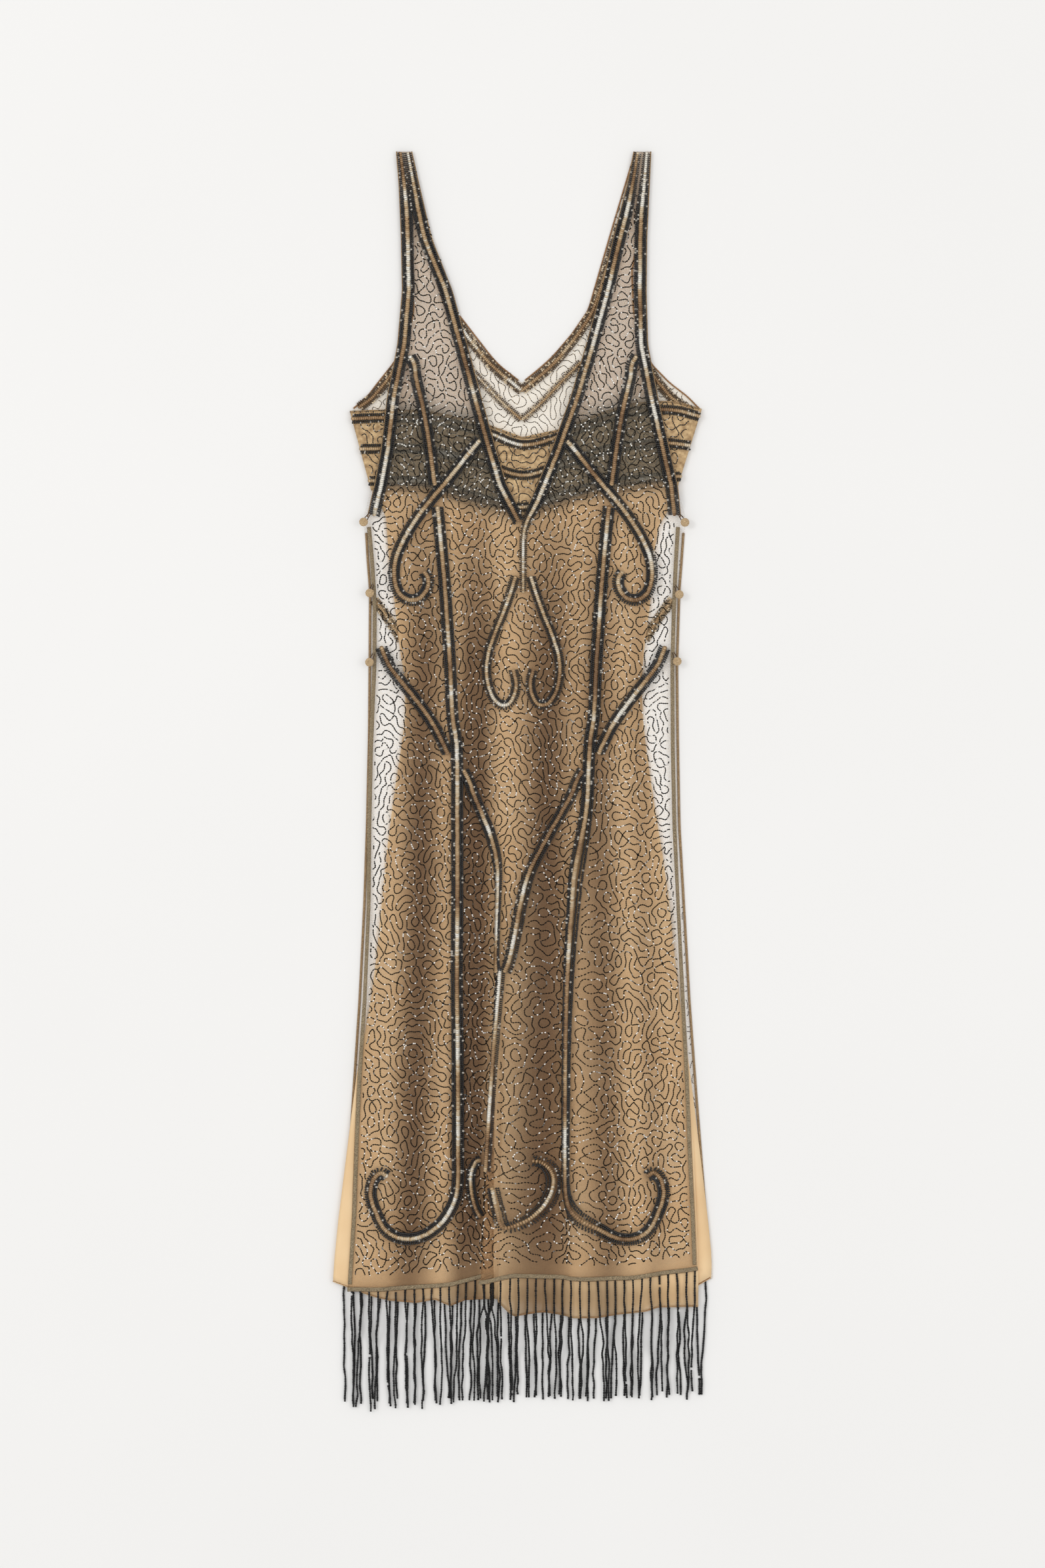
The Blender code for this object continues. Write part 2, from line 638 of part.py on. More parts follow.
def back_skirt():
    """The back of the slip's skirt, flat on the back net."""
    cut = []
    triangles = []
    before = []
    for number, (across, drop) in enumerate(BODICE_LOWER):
        before.append((number / (len(BODICE_LOWER) - 1), len(cut)))
        cut.append((across, drop + SEAM_GAP))
    for drop in SKIRT_BACK_ROWS + (SKIRT_CUT[-1][0],):
        left = between(SKIRT_CUT, drop, 1)
        right = between(SKIRT_CUT, drop, 3)
        row = []
        for fraction in SKIRT_BACK_COLUMNS:
            across = left + fraction * (right - left)
            row.append((fraction, len(cut)))
            cut.append((across, skirt_hem(SKIRT_BACK_HEM, across) if drop == SKIRT_CUT[-1][0] else drop))
        zip_rows(before, row, triangles)
        before = row
    return Cloth("skirt_back", cut, triangles, lambda a, d: SLIP_BACK_BOTTOM, SLIP_THICK, "slip")


def curve_through(points):
    """Closely spaced points of a smooth curve through the given ones.

    Each stretch is a cubic whose slopes at its ends come from the neighbouring points,
    weighted by their distances.
    """
    spots = [Vector(point) for point in points]
    gaps = [(b - a).length for a, b in zip(spots, spots[1:])]
    slopes = [(spots[1] - spots[0]) / gaps[0]]
    for number in range(1, len(spots) - 1):
        slopes.append((spots[number + 1] - spots[number - 1]) / (gaps[number - 1] + gaps[number]))
    slopes.append((spots[-1] - spots[-2]) / gaps[-1])
    dense = []
    for number, gap in enumerate(gaps):
        for step in range(CURVE_STEPS):
            t = step / CURVE_STEPS
            start = (2 * t**3 - 3 * t**2 + 1) * spots[number] + (t**3 - 2 * t**2 + t) * gap * slopes[number]
            end = (3 * t**2 - 2 * t**3) * spots[number + 1] + (t**3 - t**2) * gap * slopes[number + 1]
            dense.append(start + end)
    dense.append(spots[-1])
    return dense


def stations_along(points, half_width):
    """Stations of a ribbon on a smooth curve, closer where it turns: across, drop, half width."""
    dense = curve_through(points)
    chosen = [dense[0]]
    length = 0.0
    turned = 0.0
    for before, here, after in zip(dense, dense[1:], dense[2:]):
        length += (here - before).length
        turned += (here - before).angle(after - here, 0.0)
        if length > STATION_LENGTH or turned > STATION_TURN:
            chosen.append(here)
            length = 0.0
            turned = 0.0
    if length < STATION_SHORT and len(chosen) > 2:
        chosen.pop()
    chosen.append(dense[-1])
    return [(spot.x, spot.y, half_width) for spot in chosen]


def ribbon_edges(stations, upright_end):
    """Left, middle and right points in the cut of each station of a ribbon."""
    rows = []
    for number, (across, drop, half_width) in enumerate(stations):
        ahead = stations[min(number + 1, len(stations) - 1)]
        behind = stations[max(number - 1, 0)]
        along = Vector((ahead[0] - behind[0], ahead[1] - behind[1])).normalized()
        side = Vector((along.y, -along.x)) * half_width
        if upright_end and number == len(stations) - 1:
            side = side - along * (side.x / along.x)
        middle = Vector((across, drop))
        rows.append((middle + side, middle, middle - side))
    return rows


def ribbon(name, cloth, stations, finish, thick=TRIM_THICK, upright_end=False):
    """A flat band on a cloth's upper face, raised where the cloth bulges between its stations."""
    rows = ribbon_edges(stations, upright_end)
    spots = [spot for row in rows for spot in row]
    surface = [cloth.on_top(spot.x, spot.y) for spot in spots]
    triangles = []
    for start in range(0, len(spots) - 3, 3):
        for corner in (start, start + 1):
            triangles.append((corner, corner + 4, corner + 3))
            triangles.append((corner, corner + 1, corner + 4))
    rises = [0.0] * len(rows)
    for corners in triangles:
        for weights in TEST_WEIGHTS:
            spot = sum((share * spots[c] for share, c in zip(weights, corners)), Vector((0.0, 0.0)))
            flat = sum((share * surface[c] for share, c in zip(weights, corners)), Vector())
            bulge = cloth.on_top(spot.x, spot.y) - flat
            if bulge.z > 0.0:
                for c in corners:
                    rises[c // 3] = max(rises[c // 3], bulge.length)
    lower = []
    upper = []
    for number, (spot, base) in enumerate(zip(spots, surface)):
        distance = TRIM_GAP + rises[number // 3]
        inset = spot.lerp(rows[number // 3][1], TOP_INSET)
        lower.append(base + cloth.lifted(spot.x, spot.y, distance))
        upper.append(cloth.on_top(inset.x, inset.y) + cloth.lifted(inset.x, inset.y, distance + thick))
    return solid_from_sheet(name, lower, upper, triangles, finish)


def slope_of(table, drop, column):
    """Change across for each millimetre down, of an edge."""
    return (between(table, drop + 4, column) - between(table, drop - 4, column)) / 8.0


def strap_share(drop):
    """Width of each of a strap's two trims: the full one, or as much as the strap has room for."""
    room = between(FRONT_CUT, drop, 2) - between(FRONT_CUT, drop, 1)
    return min(TRIM_WIDTH, (room - 2 * TRIM_MARGIN - TRIM_PARTING) / 2)


def edge_stations(column, inward, drops):
    """Stations of a trim that keeps its margin to an edge of the front net."""
    stations = []
    for drop in drops:
        width = strap_share(drop)
        offset = (TRIM_MARGIN + width / 2) * math.hypot(1.0, slope_of(FRONT_CUT, drop, column))
        stations.append((between(FRONT_CUT, drop, column) + inward * offset, drop, width / 2))
    return stations


def edge_trims(cloth):
    """The bands round the neck and the armholes. The right neck band runs on as the tail."""
    drops = (1, 20, 40, 62, 91, 118, 146, 174, 202, 215, 236, 258, 286, 300, 314, 332, 350)
    left = edge_stations(2, -1, drops + (362,)) + [LEFT_NECK_END]
    ribbon("neck_trim_left", cloth, left, "trim", upright_end=True)
    right = edge_stations(3, 1, drops) + list(TAIL_ROUTE)
    ribbon("neck_trim_right", cloth, right, "trim")
    for name, column, inward in (("armhole_trim_left", 1, 1), ("armhole_trim_right", 4, -1)):
        ribbon(name, cloth, edge_stations(column, inward, drops + (358, 366, 374, 382)), "trim")


def mirrored_route(route, side):
    """A route of (distance from the mirror line, drop) on one side, as places across."""
    return [(between(ORNAMENT_CENTRE, drop) + side * distance, drop) for distance, drop in route]


def ornaments(cloth):
    """The raised lines of the front: pairs that mirror each other, the stem and the hem scrolls."""
    for suffix, side in (("left", -1), ("right", 1)):
        for name, route, width in ORNAMENTS:
            points = mirrored_route(route, side)
            ribbon(f"{name}_{suffix}", cloth, stations_along(points, width / 2), "trim")
    stem = stations_along(mirrored_route(CENTRE_STEM, 1), STEM_WIDTH / 2)
    ribbon("centre_stem", cloth, stem, "trim")
    for name, route, side in (
        ("hem_scroll_left", HEM_SCROLL_LEFT, -1), ("hem_scroll_right", HEM_SCROLL_RIGHT, 1)
    ):
        ribbon(name, cloth, stations_along(mirrored_route(route, side), SCROLL_WIDTH / 2), "trim")


def back_trims(cloth):
    """The bands that show on the back net: its neck, the chevron below it and its armholes."""
    for suffix, side in (("left", -1), ("right", 1)):
        for name, route, width, meets in (
            ("back_neck_trim", BACK_NECK, BACK_TRIM_WIDTH, True),
            ("back_chevron", BACK_CHEVRON, CHEVRON_WIDTH, True),
            ("back_armhole_trim", BACK_ARMHOLE, BACK_TRIM_WIDTH, False),
        ):
            stations = [(BACK_CENTRE + side * distance, drop, width / 2) for distance, drop in route]
            ribbon(f"{name}_{suffix}", cloth, stations, "trim", BACK_TRIM_THICK, meets)


def bodice_bands(cloth):
    """The bands of beads across the bandeau."""
    for number, (level, width) in enumerate(BODICE_BANDS, start=1):
        stations = []
        for top, lower in zip(BODICE_TOP, BODICE_LOWER):
            across, drop = (a + level * (b - a) for a, b in zip(top, lower))
            stations.append((across, drop, width / 2))
        first, last = stations[0], stations[-1]
        stations[0] = (first[0] + BAND_END_CLEAR, first[1], first[2])
        stations[-1] = (last[0] - BAND_END_CLEAR, last[1], last[2])
        ribbon(f"bodice_band_{number}", cloth, stations, "trim", BAND_THICK)


def bindings(cloth, hem):
    """The net binding down each open side of the front net and along its hem."""
    inset = TRIM_MARGIN + BINDING_WIDTH / 2
    half = BINDING_WIDTH / 2
    drops = (SIDE_BINDING_TOP,) + WAIST_ROWS[1:] + FOLD_ROWS
    for name, column, inward in (("side_binding_left", 1, 1), ("side_binding_right", 4, -1)):
        corner = between(FRONT_HEM, 0.0 if inward > 0 else 1.0)
        stations = []
        for drop in drops + (corner - TRIM_MARGIN - BINDING_WIDTH - TRIM_PARTING,):
            stations.append((between(FRONT_CUT, drop, column) + inward * inset, drop, half))
        ribbon(name, cloth, stations, "binding", BINDING_THICK)
    stations = [(cloth.cut[index][0], cloth.cut[index][1] - inset, half) for index in hem]
    first, last = stations[0], stations[-1]
    stations[0] = (first[0] + TRIM_MARGIN, first[1], half)
    stations[-1] = (last[0] - TRIM_MARGIN, last[1], half)
    ribbon("hem_binding", cloth, stations, "binding", BINDING_THICK)


def spread(places, spacing):
    """Places moved apart to a least spacing, in their order, about where they were."""
    rising = list(places)
    for number in range(1, len(rising)):
        rising[number] = max(rising[number], rising[number - 1] + spacing)
    falling = list(places)
    for number in range(len(falling) - 2, -1, -1):
        falling[number] = min(falling[number], falling[number + 1] - spacing)
    return [(a + b) / 2 for a, b in zip(rising, falling)]


class Fringe:
    """Strands that grow out of a narrow strip beside a hem."""

    def __init__(self, name, cloth, hem, rest, high, clear_at, seed):
        """Set the strip along the hem points and lay a strand from each of its root faces."""
        self.low = [cloth.lower[index] for index in hem]
        self.high_edge = [cloth.upper[index] for index in hem]
        self.rest = rest
        self.high = high
        self.clear_at = clear_at
        self.chance = random.Random(seed)
        self.points = []
        self.faces = []
        stations, roots = self.stations()
        for low, high_point in stations:
            for reach in (STRIP_GAP, STRIP_GAP + STRIP_DEEP):
                for point in (low, high_point):
                    self.points.append(point - Vector((0.0, reach, 0.0)))
        self.strip(len(stations), roots)
        self.strands(roots)
        add_mesh(name, self.points, self.faces, "fringe")

    def stations(self):
        """Stations of the strip, at the hem's own points and at both sides of each root."""
        lengths = [(b - a).length for a, b in zip(self.low, self.low[1:])]
        margin = STRAND_WIDE / 2 + ROOT_MARGIN
        places = [(float(number), None) for number in range(len(self.low))]
        roots = []
        travelled = 0.0
        wanted = STRAND_PITCH / 2
        for number, length in enumerate(lengths):
            while wanted < travelled + length:
                along = min(max(wanted - travelled, margin), length - margin)
                for side in (-STRAND_WIDE / 2, STRAND_WIDE / 2):
                    places.append((number + (along + side) / length, len(roots)))
                roots.append(None)
                wanted += STRAND_PITCH
            travelled += length
        places.sort(key=lambda place: place[0])
        stations = []
        for place, root in places:
            number = min(int(place), len(lengths) - 1)
            share = place - number
            low = self.low[number].lerp(self.low[number + 1], share)
            high_point = self.high_edge[number].lerp(self.high_edge[number + 1], share)
            if root is not None and roots[root] is None:
                roots[root] = len(stations)
            stations.append((low, high_point))
        return stations, roots

    def strip(self, count, roots):
        """Faces of the strip, left open where a strand grows. Each station has four points:
        near and low, near and high, far and low, far and high."""
        open_at = set(roots)
        for number in range(count - 1):
            a = 4 * number
            b = a + 4
            self.faces.append((a + 1, a + 3, b + 3, b + 1))
            self.faces.append((a, b, b + 2, a + 2))
            self.faces.append((a + 1, b + 1, b, a))
            if number not in open_at:
                self.faces.append((a + 2, b + 2, b + 3, a + 3))
        last = 4 * (count - 1)
        self.faces.append((1, 0, 2, 3))
        self.faces.append((last + 3, last + 2, last, last + 1))

    def strands(self, roots):
        """Lay each strand clear of the skirt, apart from its neighbours, then down to its rest."""
        centres = []
        for root in roots:
            corners = [self.points[4 * root + 2 + step] for step in (0, 1, 4, 5)]
            centres.append(sum(corners, Vector()) / 4)
        finals = spread([centre.x for centre in centres], STRAND_SPACING)
        for number, (root, centre) in enumerate(zip(roots, centres)):
            room = min(
                [abs(finals[number] - finals[other]) for other in (number - 1, number + 1)
                 if 0 <= other < len(finals)]
            )
            sway = max(min(MOST_SWAY, (room - STRAND_WIDE) / 2 - ROOT_MARGIN), 0.0)
            start = self.clear_at(centre.x, -centre.y)
            length = STRAND_LENGTH + self.chance.uniform(-STRAND_VARIES, STRAND_VARIES)
            route = [(STRAND_NECK, centre.x, centre.z), (start, centre.x, centre.z)]
            down = start + STRAND_APART
            route.append((down, finals[number], centre.z))
            landed = down + STRAND_LANDING
            route.append((landed, finals[number], self.rest))
            for share in (0.5, 1.0):
                shift = self.chance.uniform(-sway, sway)
                route.append((landed + share * (length - landed), finals[number] + shift, self.rest))
            self.strand(root, centre.y, route)

    def strand(self, root, start_y, route):
        """One four-sided strand through sections at (length, across, height)."""
        ring = [4 * root + 2, 4 * root + 6, 4 * root + 7, 4 * root + 3]
        for length, across, height in route:
            count = len(self.points)
            for wide, high in ((-1, -1), (1, -1), (1, 1), (-1, 1)):
                x = across + wide * STRAND_WIDE / 2
                self.points.append(Vector((x, start_y - length, height + high * self.high / 2)))
            following = [count, count + 1, count + 2, count + 3]
            for corner in range(4):
                after = (corner + 1) % 4
                self.faces.append((ring[after], following[after], following[corner], ring[corner]))
            ring = following
        self.faces.append(tuple(ring))


def fringes(front, front_hem, back, back_hem):
    """The bead fringe below each net hem."""

    def past_skirt(across, drop):
        """Length of a front strand that still lies over the skirt."""
        return max(skirt_hem(SKIRT_FRONT_HEM, across) + STRAND_CLEAR - drop, STRAND_CLEAR)

    Fringe("fringe_front", front, front_hem, FRONT_REST, STRAND_HIGH, past_skirt, 3)
    rest = BACK_STRAND_LIFT + BACK_STRAND_HIGH / 2
    Fringe("fringe_back", back, back_hem, rest, BACK_STRAND_HIGH, lambda a, d: STRAND_CLEAR, 7)


def turned(name, across, drop, profile, finish):
    """A body turned about an upright axis, from (radius, height) pairs that start and end on it."""
    points = [(across, -drop, profile[0][1])]
    faces = []
    for radius, height in profile[1:-1]:
        for step in range(BUTTON_SIDES):
            angle = 2 * math.pi * step / BUTTON_SIDES
            points.append((across + radius * math.cos(angle), radius * math.sin(angle) - drop, height))
    top = len(points)
    points.append((across, -drop, profile[-1][1]))
    rings = len(profile) - 2
    for step in range(BUTTON_SIDES):
        after = (step + 1) % BUTTON_SIDES
        faces.append((0, 1 + after, 1 + step))
        for ring in range(rings - 1):
            low = 1 + ring * BUTTON_SIDES
            high = low + BUTTON_SIDES
            faces.append((low + step, low + after, high + after, high + step))
        last = 1 + (rings - 1) * BUTTON_SIDES
        faces.append((last + step, last + after, top))
    return add_mesh(name, points, faces, finish)


def loop(name, across, drop, side):
    """A thread that runs round a button's shank, with both its ends on the front net's edge."""
    edge = between(FRONT_CUT, drop - LOOP_REACH, 1 if side < 0 else 4)
    end = Vector((edge - side * LOOP_INWARD, LOOP_REACH - drop))
    shank = Vector((across, -drop))
    towards = (end - shank).normalized()
    aside = Vector((-towards.y, towards.x))
    spots = [end + aside * LOOP_PARTING]
    for step in range(LOOP_STEPS + 1):
        angle = math.radians(LOOP_OPEN + step * (360 - 2 * LOOP_OPEN) / LOOP_STEPS)
        spots.append(shank + LOOP_RADIUS * (math.cos(angle) * towards + math.sin(angle) * aside))
    spots.append(end - aside * LOOP_PARTING)
    curve = bpy.data.curves.new(name, "CURVE")
    curve.dimensions = "3D"
    curve.bevel_depth = LOOP_THREAD * MM
    curve.bevel_resolution = 1
    curve.use_fill_caps = True
    spline = curve.splines.new("POLY")
    spline.points.add(len(spots) - 1)
    for point, spot in zip(spline.points, spots):
        point.co = (spot.x * MM, spot.y * MM, LOOP_HEIGHT * MM, 1.0)
    curve.materials.append(material(name, "loop"))
    thing = bpy.data.objects.new(name, curve)
    bpy.context.collection.objects.link(thing)


def fastenings():
    """Three covered buttons down each side, with their loops."""
    shank = ((0.0, SLIP_BACK_BOTTOM), (SHANK_RADIUS, SLIP_BACK_BOTTOM), (SHANK_RADIUS, DISC_BOTTOM))
    disc = tuple((radius, DISC_BOTTOM + height) for radius, height in BUTTON_PROFILE)
    profile = shank + disc + ((0.0, DISC_BOTTOM + BUTTON_TOP),)
    for suffix, side, places in (("left", -1, BUTTONS_LEFT), ("right", 1, BUTTONS_RIGHT)):
        for number, (across, drop) in enumerate(places, start=1):
            turned(f"button_{suffix}_{number}", across, drop, profile, "button")
            loop(f"loop_{suffix}_{number}", across, drop, side)


def centre_on_origin():
    """Move everything so that the origin is under the middle of the dress, on the surface."""
    bpy.context.view_layer.update()
    corners = []
    for thing in bpy.data.objects:
        corners += [thing.matrix_world @ Vector(corner) for corner in thing.bound_box]
    middle = [(min(c[axis] for c in corners) + max(c[axis] for c in corners)) / 2 for axis in (0, 1)]
    for thing in bpy.data.objects:
        thing.location = (-middle[0], -middle[1], 0.0)


def build():
    """Make every piece, from the layer on the surface up."""
    clear_scene()
    back, back_hem = back_panel()
    back_trims(back)
    bodice("bodice_back", SLIP_BACK_BOTTOM)
    back_skirt()
    bandeau = bodice("bodice_front", SLIP_FRONT_BOTTOM)
    bodice_bands(bandeau)
    front_skirt()
    front, front_hem = front_panel()
    edge_trims(front)
    ornaments(front)
    bindings(front, front_hem)
    fringes(front, front_hem, back, back_hem)
    fastenings()
    centre_on_origin()


build()
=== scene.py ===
from itertools import product

import bpy
import numpy as np
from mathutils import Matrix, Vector


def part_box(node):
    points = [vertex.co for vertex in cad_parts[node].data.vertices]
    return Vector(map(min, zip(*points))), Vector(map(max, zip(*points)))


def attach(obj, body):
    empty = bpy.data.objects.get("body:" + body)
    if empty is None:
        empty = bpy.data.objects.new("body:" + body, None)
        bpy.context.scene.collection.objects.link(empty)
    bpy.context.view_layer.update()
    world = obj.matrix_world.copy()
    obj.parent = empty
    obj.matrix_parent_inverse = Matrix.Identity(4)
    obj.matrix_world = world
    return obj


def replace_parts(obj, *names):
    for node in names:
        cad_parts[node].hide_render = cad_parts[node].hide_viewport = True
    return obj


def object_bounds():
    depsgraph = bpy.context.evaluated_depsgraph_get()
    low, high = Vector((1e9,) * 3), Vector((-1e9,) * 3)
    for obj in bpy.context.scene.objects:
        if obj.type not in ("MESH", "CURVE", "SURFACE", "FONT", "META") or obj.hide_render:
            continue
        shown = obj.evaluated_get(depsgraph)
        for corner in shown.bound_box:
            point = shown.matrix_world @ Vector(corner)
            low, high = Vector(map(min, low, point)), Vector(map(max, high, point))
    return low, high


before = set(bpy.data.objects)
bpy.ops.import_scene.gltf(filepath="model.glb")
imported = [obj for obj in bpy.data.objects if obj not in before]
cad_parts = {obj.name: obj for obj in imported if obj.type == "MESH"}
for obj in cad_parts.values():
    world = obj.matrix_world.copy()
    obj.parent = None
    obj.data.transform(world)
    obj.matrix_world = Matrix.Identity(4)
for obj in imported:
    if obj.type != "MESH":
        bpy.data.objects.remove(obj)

SOLID_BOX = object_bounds()
MM = 0.001

# Heights of the layers above the surface, and their thicknesses
NET_THICK = 1.2
SLIP_THICK = 1.0
LAYER_GAP = 0.3
SLIP_BACK_BOTTOM = NET_THICK + LAYER_GAP
SLIP_FRONT_BOTTOM = SLIP_BACK_BOTTOM + SLIP_THICK + LAYER_GAP
STRAP_BASE = 1.6
BUST_BASE = 5.6
SKIRT_BASE = 4.4
EDGE_BASE = 1.7
# Where the front net climbs from the straps to the bandeau and comes down to the skirt: drop, drop
CLIMB_DROPS = (215.0, 256.0)
DESCENT_DROPS = (385.0, 420.0)
# How it sinks beside the skirt: distances past the skirt's edge, and drops
SINK_BEYOND = (5.0, 16.0)
SINK_DROPS = (350.0, 372.0)

# Raised trims of beads and sequins, and the flat bindings
TRIM_WIDTH = 12.0
TRIM_MARGIN = 1.0
TRIM_PARTING = 0.6
BINDING_WIDTH = 3.5
SIDE_BINDING_TOP = 394.0

# Front net: drop, outer edge left, neck edge left, neck edge right, outer edge right
FRONT_CUT = (
    (0, -133.4, -116.6, 115.9, 134.4),
    (35, -130.5, -108.9, 108.9, 132.7),
    (91, -128.2, -95.9, 94.5, 130.0),
    (146, -127.1, -74.2, 81.6, 129.4),
    (202, -131.9, -58.8, 66.2, 130.9),
    (258, -142.7, -43.8, 49.6, 141.4),
    (314, -149.2, -28.0, 29.4, 154.0),
    (350, -156.0, -17.0, 14.7, 162.0),
    (382, -163.5, 0.0, 0.0, 165.5),
    (388, -165.2, 0.2, 0.2, 165.6),
    (428, -161.4, 0.8, 0.8, 163.1),
    (475, -158.5, 1.2, 1.2, 161.0),
    (540, -158.9, 0.2, 0.2, 159.3),
    (624, -162.4, -1.3, -1.3, 159.7),
    (706, -164.2, -1.4, -1.4, 161.4),
    (790, -164.9, 0.1, 0.1, 165.2),
    (890, -169.0, 0.5, 0.5, 170.1),
    (970, -174.3, 0.0, 0.0, 174.3),
    (1045, -177.5, -0.2, -0.2, 177.1),
    (1120, -180.1, 0.2, 0.2, 180.6),
    (1185, -184.5, -0.7, -0.7, 183.0),
)
FRONT_V_DROP = 382

# Front net hem: fraction across from the left, drop
FRONT_HEM = (
    (0.0, 1196.0), (0.1, 1195.6), (0.2, 1193.5), (0.3, 1190.0), (0.37, 1184.0), (0.42, 1179.5),
    (0.47, 1187.0), (0.5, 1186.0), (0.55, 1180.0), (0.6, 1182.0), (0.7, 1185.0), (0.8, 1184.0),
    (0.9, 1179.0), (1.0, 1174.0),
)

# Back net: drop, outer edge left, neck edge left, neck edge right, outer edge right
BACK_CUT = (
    (0, -131.0, -119.0, 116.9, 131.0),
    (77, -121.0, -101.5, 93.8, 122.5),
    (125, -116.0, -86.8, 79.8, 114.8),
    (166, -115.5, -70.7, 67.9, 116.2),
    (191, -120.4, -51.5, 50.7, 122.5),
    (213.5, -131.6, -34.0, 31.5, 130.2),
    (224, -138.6, -24.5, 20.3, 136.5),
    (242, -153.0, -1.4, -1.4, 154.0),
    (257, -164.5, 2.0, 2.0, 173.6),
    (271.6, -181.7, 2.0, 2.0, 187.6),
    (291, -176.4, 1.0, 1.0, 179.2),
    (318.5, -168.7, 1.0, 1.0, 171.5),
    (338, -162.4, 1.0, 1.0, 166.0),
    (354, -159.6, 1.0, 1.0, 162.4),
    (386, -168.5, 1.0, 1.0, 171.5),
    (397, -166.3, 1.0, 1.0, 169.8),
    (428, -164.5, 1.0, 1.0, 167.7),
    (461, -161.9, 1.0, 1.0, 165.2),
    (540, -162.4, 0.0, 0.0, 162.8),
    (610, -163.0, 0.0, 0.0, 163.5),
    (706, -165.2, 0.0, 0.0, 165.2),
    (790, -168.0, 1.0, 1.0, 170.0),
    (890, -173.0, 1.0, 1.0, 175.7),
    (995, -180.0, 1.0, 1.0, 183.4),
    (1100, -187.0, 2.0, 2.0, 191.8),
    (1183, -192.5, 3.0, 3.0, 199.5),
)
BACK_V_DROP = 242
BACK_HEM = ((0.0, 1188.0), (0.5, 1186.0), (1.0, 1183.0))

# Bandeau of the slip: across and drop of its top edge and of its lower edge
BODICE_TOP = (
    (-182.0, 272.3), (-145.6, 270.9), (-101.5, 272.3), (-59.5, 280.0), (-35.0, 287.0), (-0.7, 299.6),
    (35.7, 291.9), (66.5, 280.0), (108.5, 265.3), (143.5, 261.8), (164.5, 263.2), (187.6, 270.2),
)
BODICE_LOWER = (
    (-159.6, 355.6), (-130.0, 356.0), (-101.5, 357.0), (-59.5, 370.3), (-35.0, 377.3), (-0.7, 383.6),
    (27.3, 375.2), (52.0, 368.0), (77.0, 361.2), (122.5, 354.9), (143.0, 352.6), (162.4, 350.7),
)

# Bands of beads across the bandeau: place between its top and lower edge, width
BODICE_BANDS = ((0.10, 10.0), (0.48, 10.0), (0.88, 10.0))

# Skirt of the slip: drop, left edge, right edge of the front, right edge of the back
SKIRT_CUT = (
    (355, -159.3, 162.4, 162.4),
    (379, -144.2, 150.5, 150.5),
    (393, -143.2, 142.1, 142.1),
    (426, -141.0, 136.5, 136.5),
    (476, -134.6, 133.0, 133.0),
    (523.6, -129.0, 126.7, 126.7),
    (554, -124.0, 124.3, 124.3),
    (596, -124.0, 125.6, 125.6),
    (624, -127.7, 128.8, 128.8),
    (679, -136.0, 136.5, 136.5),
    (734, -143.0, 145.6, 145.6),
    (790, -148.5, 153.3, 153.3),
    (845, -154.0, 158.9, 158.9),
    (890, -159.6, 164.5, 164.5),
    (970, -175.0, 172.0, 175.7),
    (1045, -184.5, 179.0, 185.0),
    (1120, -193.9, 182.0, 193.9),
    (1161, -198.0, 183.3, 198.0),
    (1184, -199.5, 183.8, 197.4),
)
# Skirt hems: fraction across from the left, drop
SKIRT_FRONT_HEM = (
    (0.0, 1186.0), (0.1, 1200.5), (0.15, 1205.5), (0.22, 1208.0), (0.27, 1204.0), (0.31, 1211.0),
    (0.35, 1205.0), (0.445, 1203.0), (0.48, 1207.5), (0.52, 1221.0), (0.57, 1217.0),
    (0.645, 1223.6), (0.7, 1223.6), (0.76, 1220.0), (0.83, 1216.6), (0.86, 1212.5), (1.0, 1211.7),
)
SKIRT_BACK_HEM = (
    (0.0, 1186.0), (0.2, 1197.0), (0.5, 1206.0), (0.7, 1213.0), (0.9, 1208.0), (0.965, 1190.0),
    (1.0, 1182.0),
)

# Soft folds: fraction across the front net, height at the hem, half width
SOFT_FOLDS = (
    (0.085, 5.0, 28.0),
    (0.275, 6.0, 28.0),
    (0.685, 6.0, 28.0),
    (0.835, 6.0, 28.0),
    (0.970, 3.0, 22.0),
)
# How far the soft folds have risen: drop, share of their height
SOFT_RISE = ((420, 0.0), (540, 0.3), (1188, 1.0))
# The deep fold that rolls over: drop, height
ROLL_RISE = (
    (680, 0.0), (715, 0.7), (799, 5.2), (862, 7.4), (919, 9.6), (992, 12.2), (1065, 14.7), (1188, 18.4),
)
ROLL_CREST = -6.3
ROLL_LEFT = 24.5
ROLL_RIGHT = 63.0
ROLL_LEAN = -1.9
# The lean fades out to each side of the fold, and towards the waist
LEAN_LEFT = (-59.5, -31.0)
LEAN_RIGHT = (60.0, 87.5)
LEAN_DROP = (665.0, 770.0)
SLIP_FOLD_SHARE = 0.5
MOST_STRETCH = 2.3

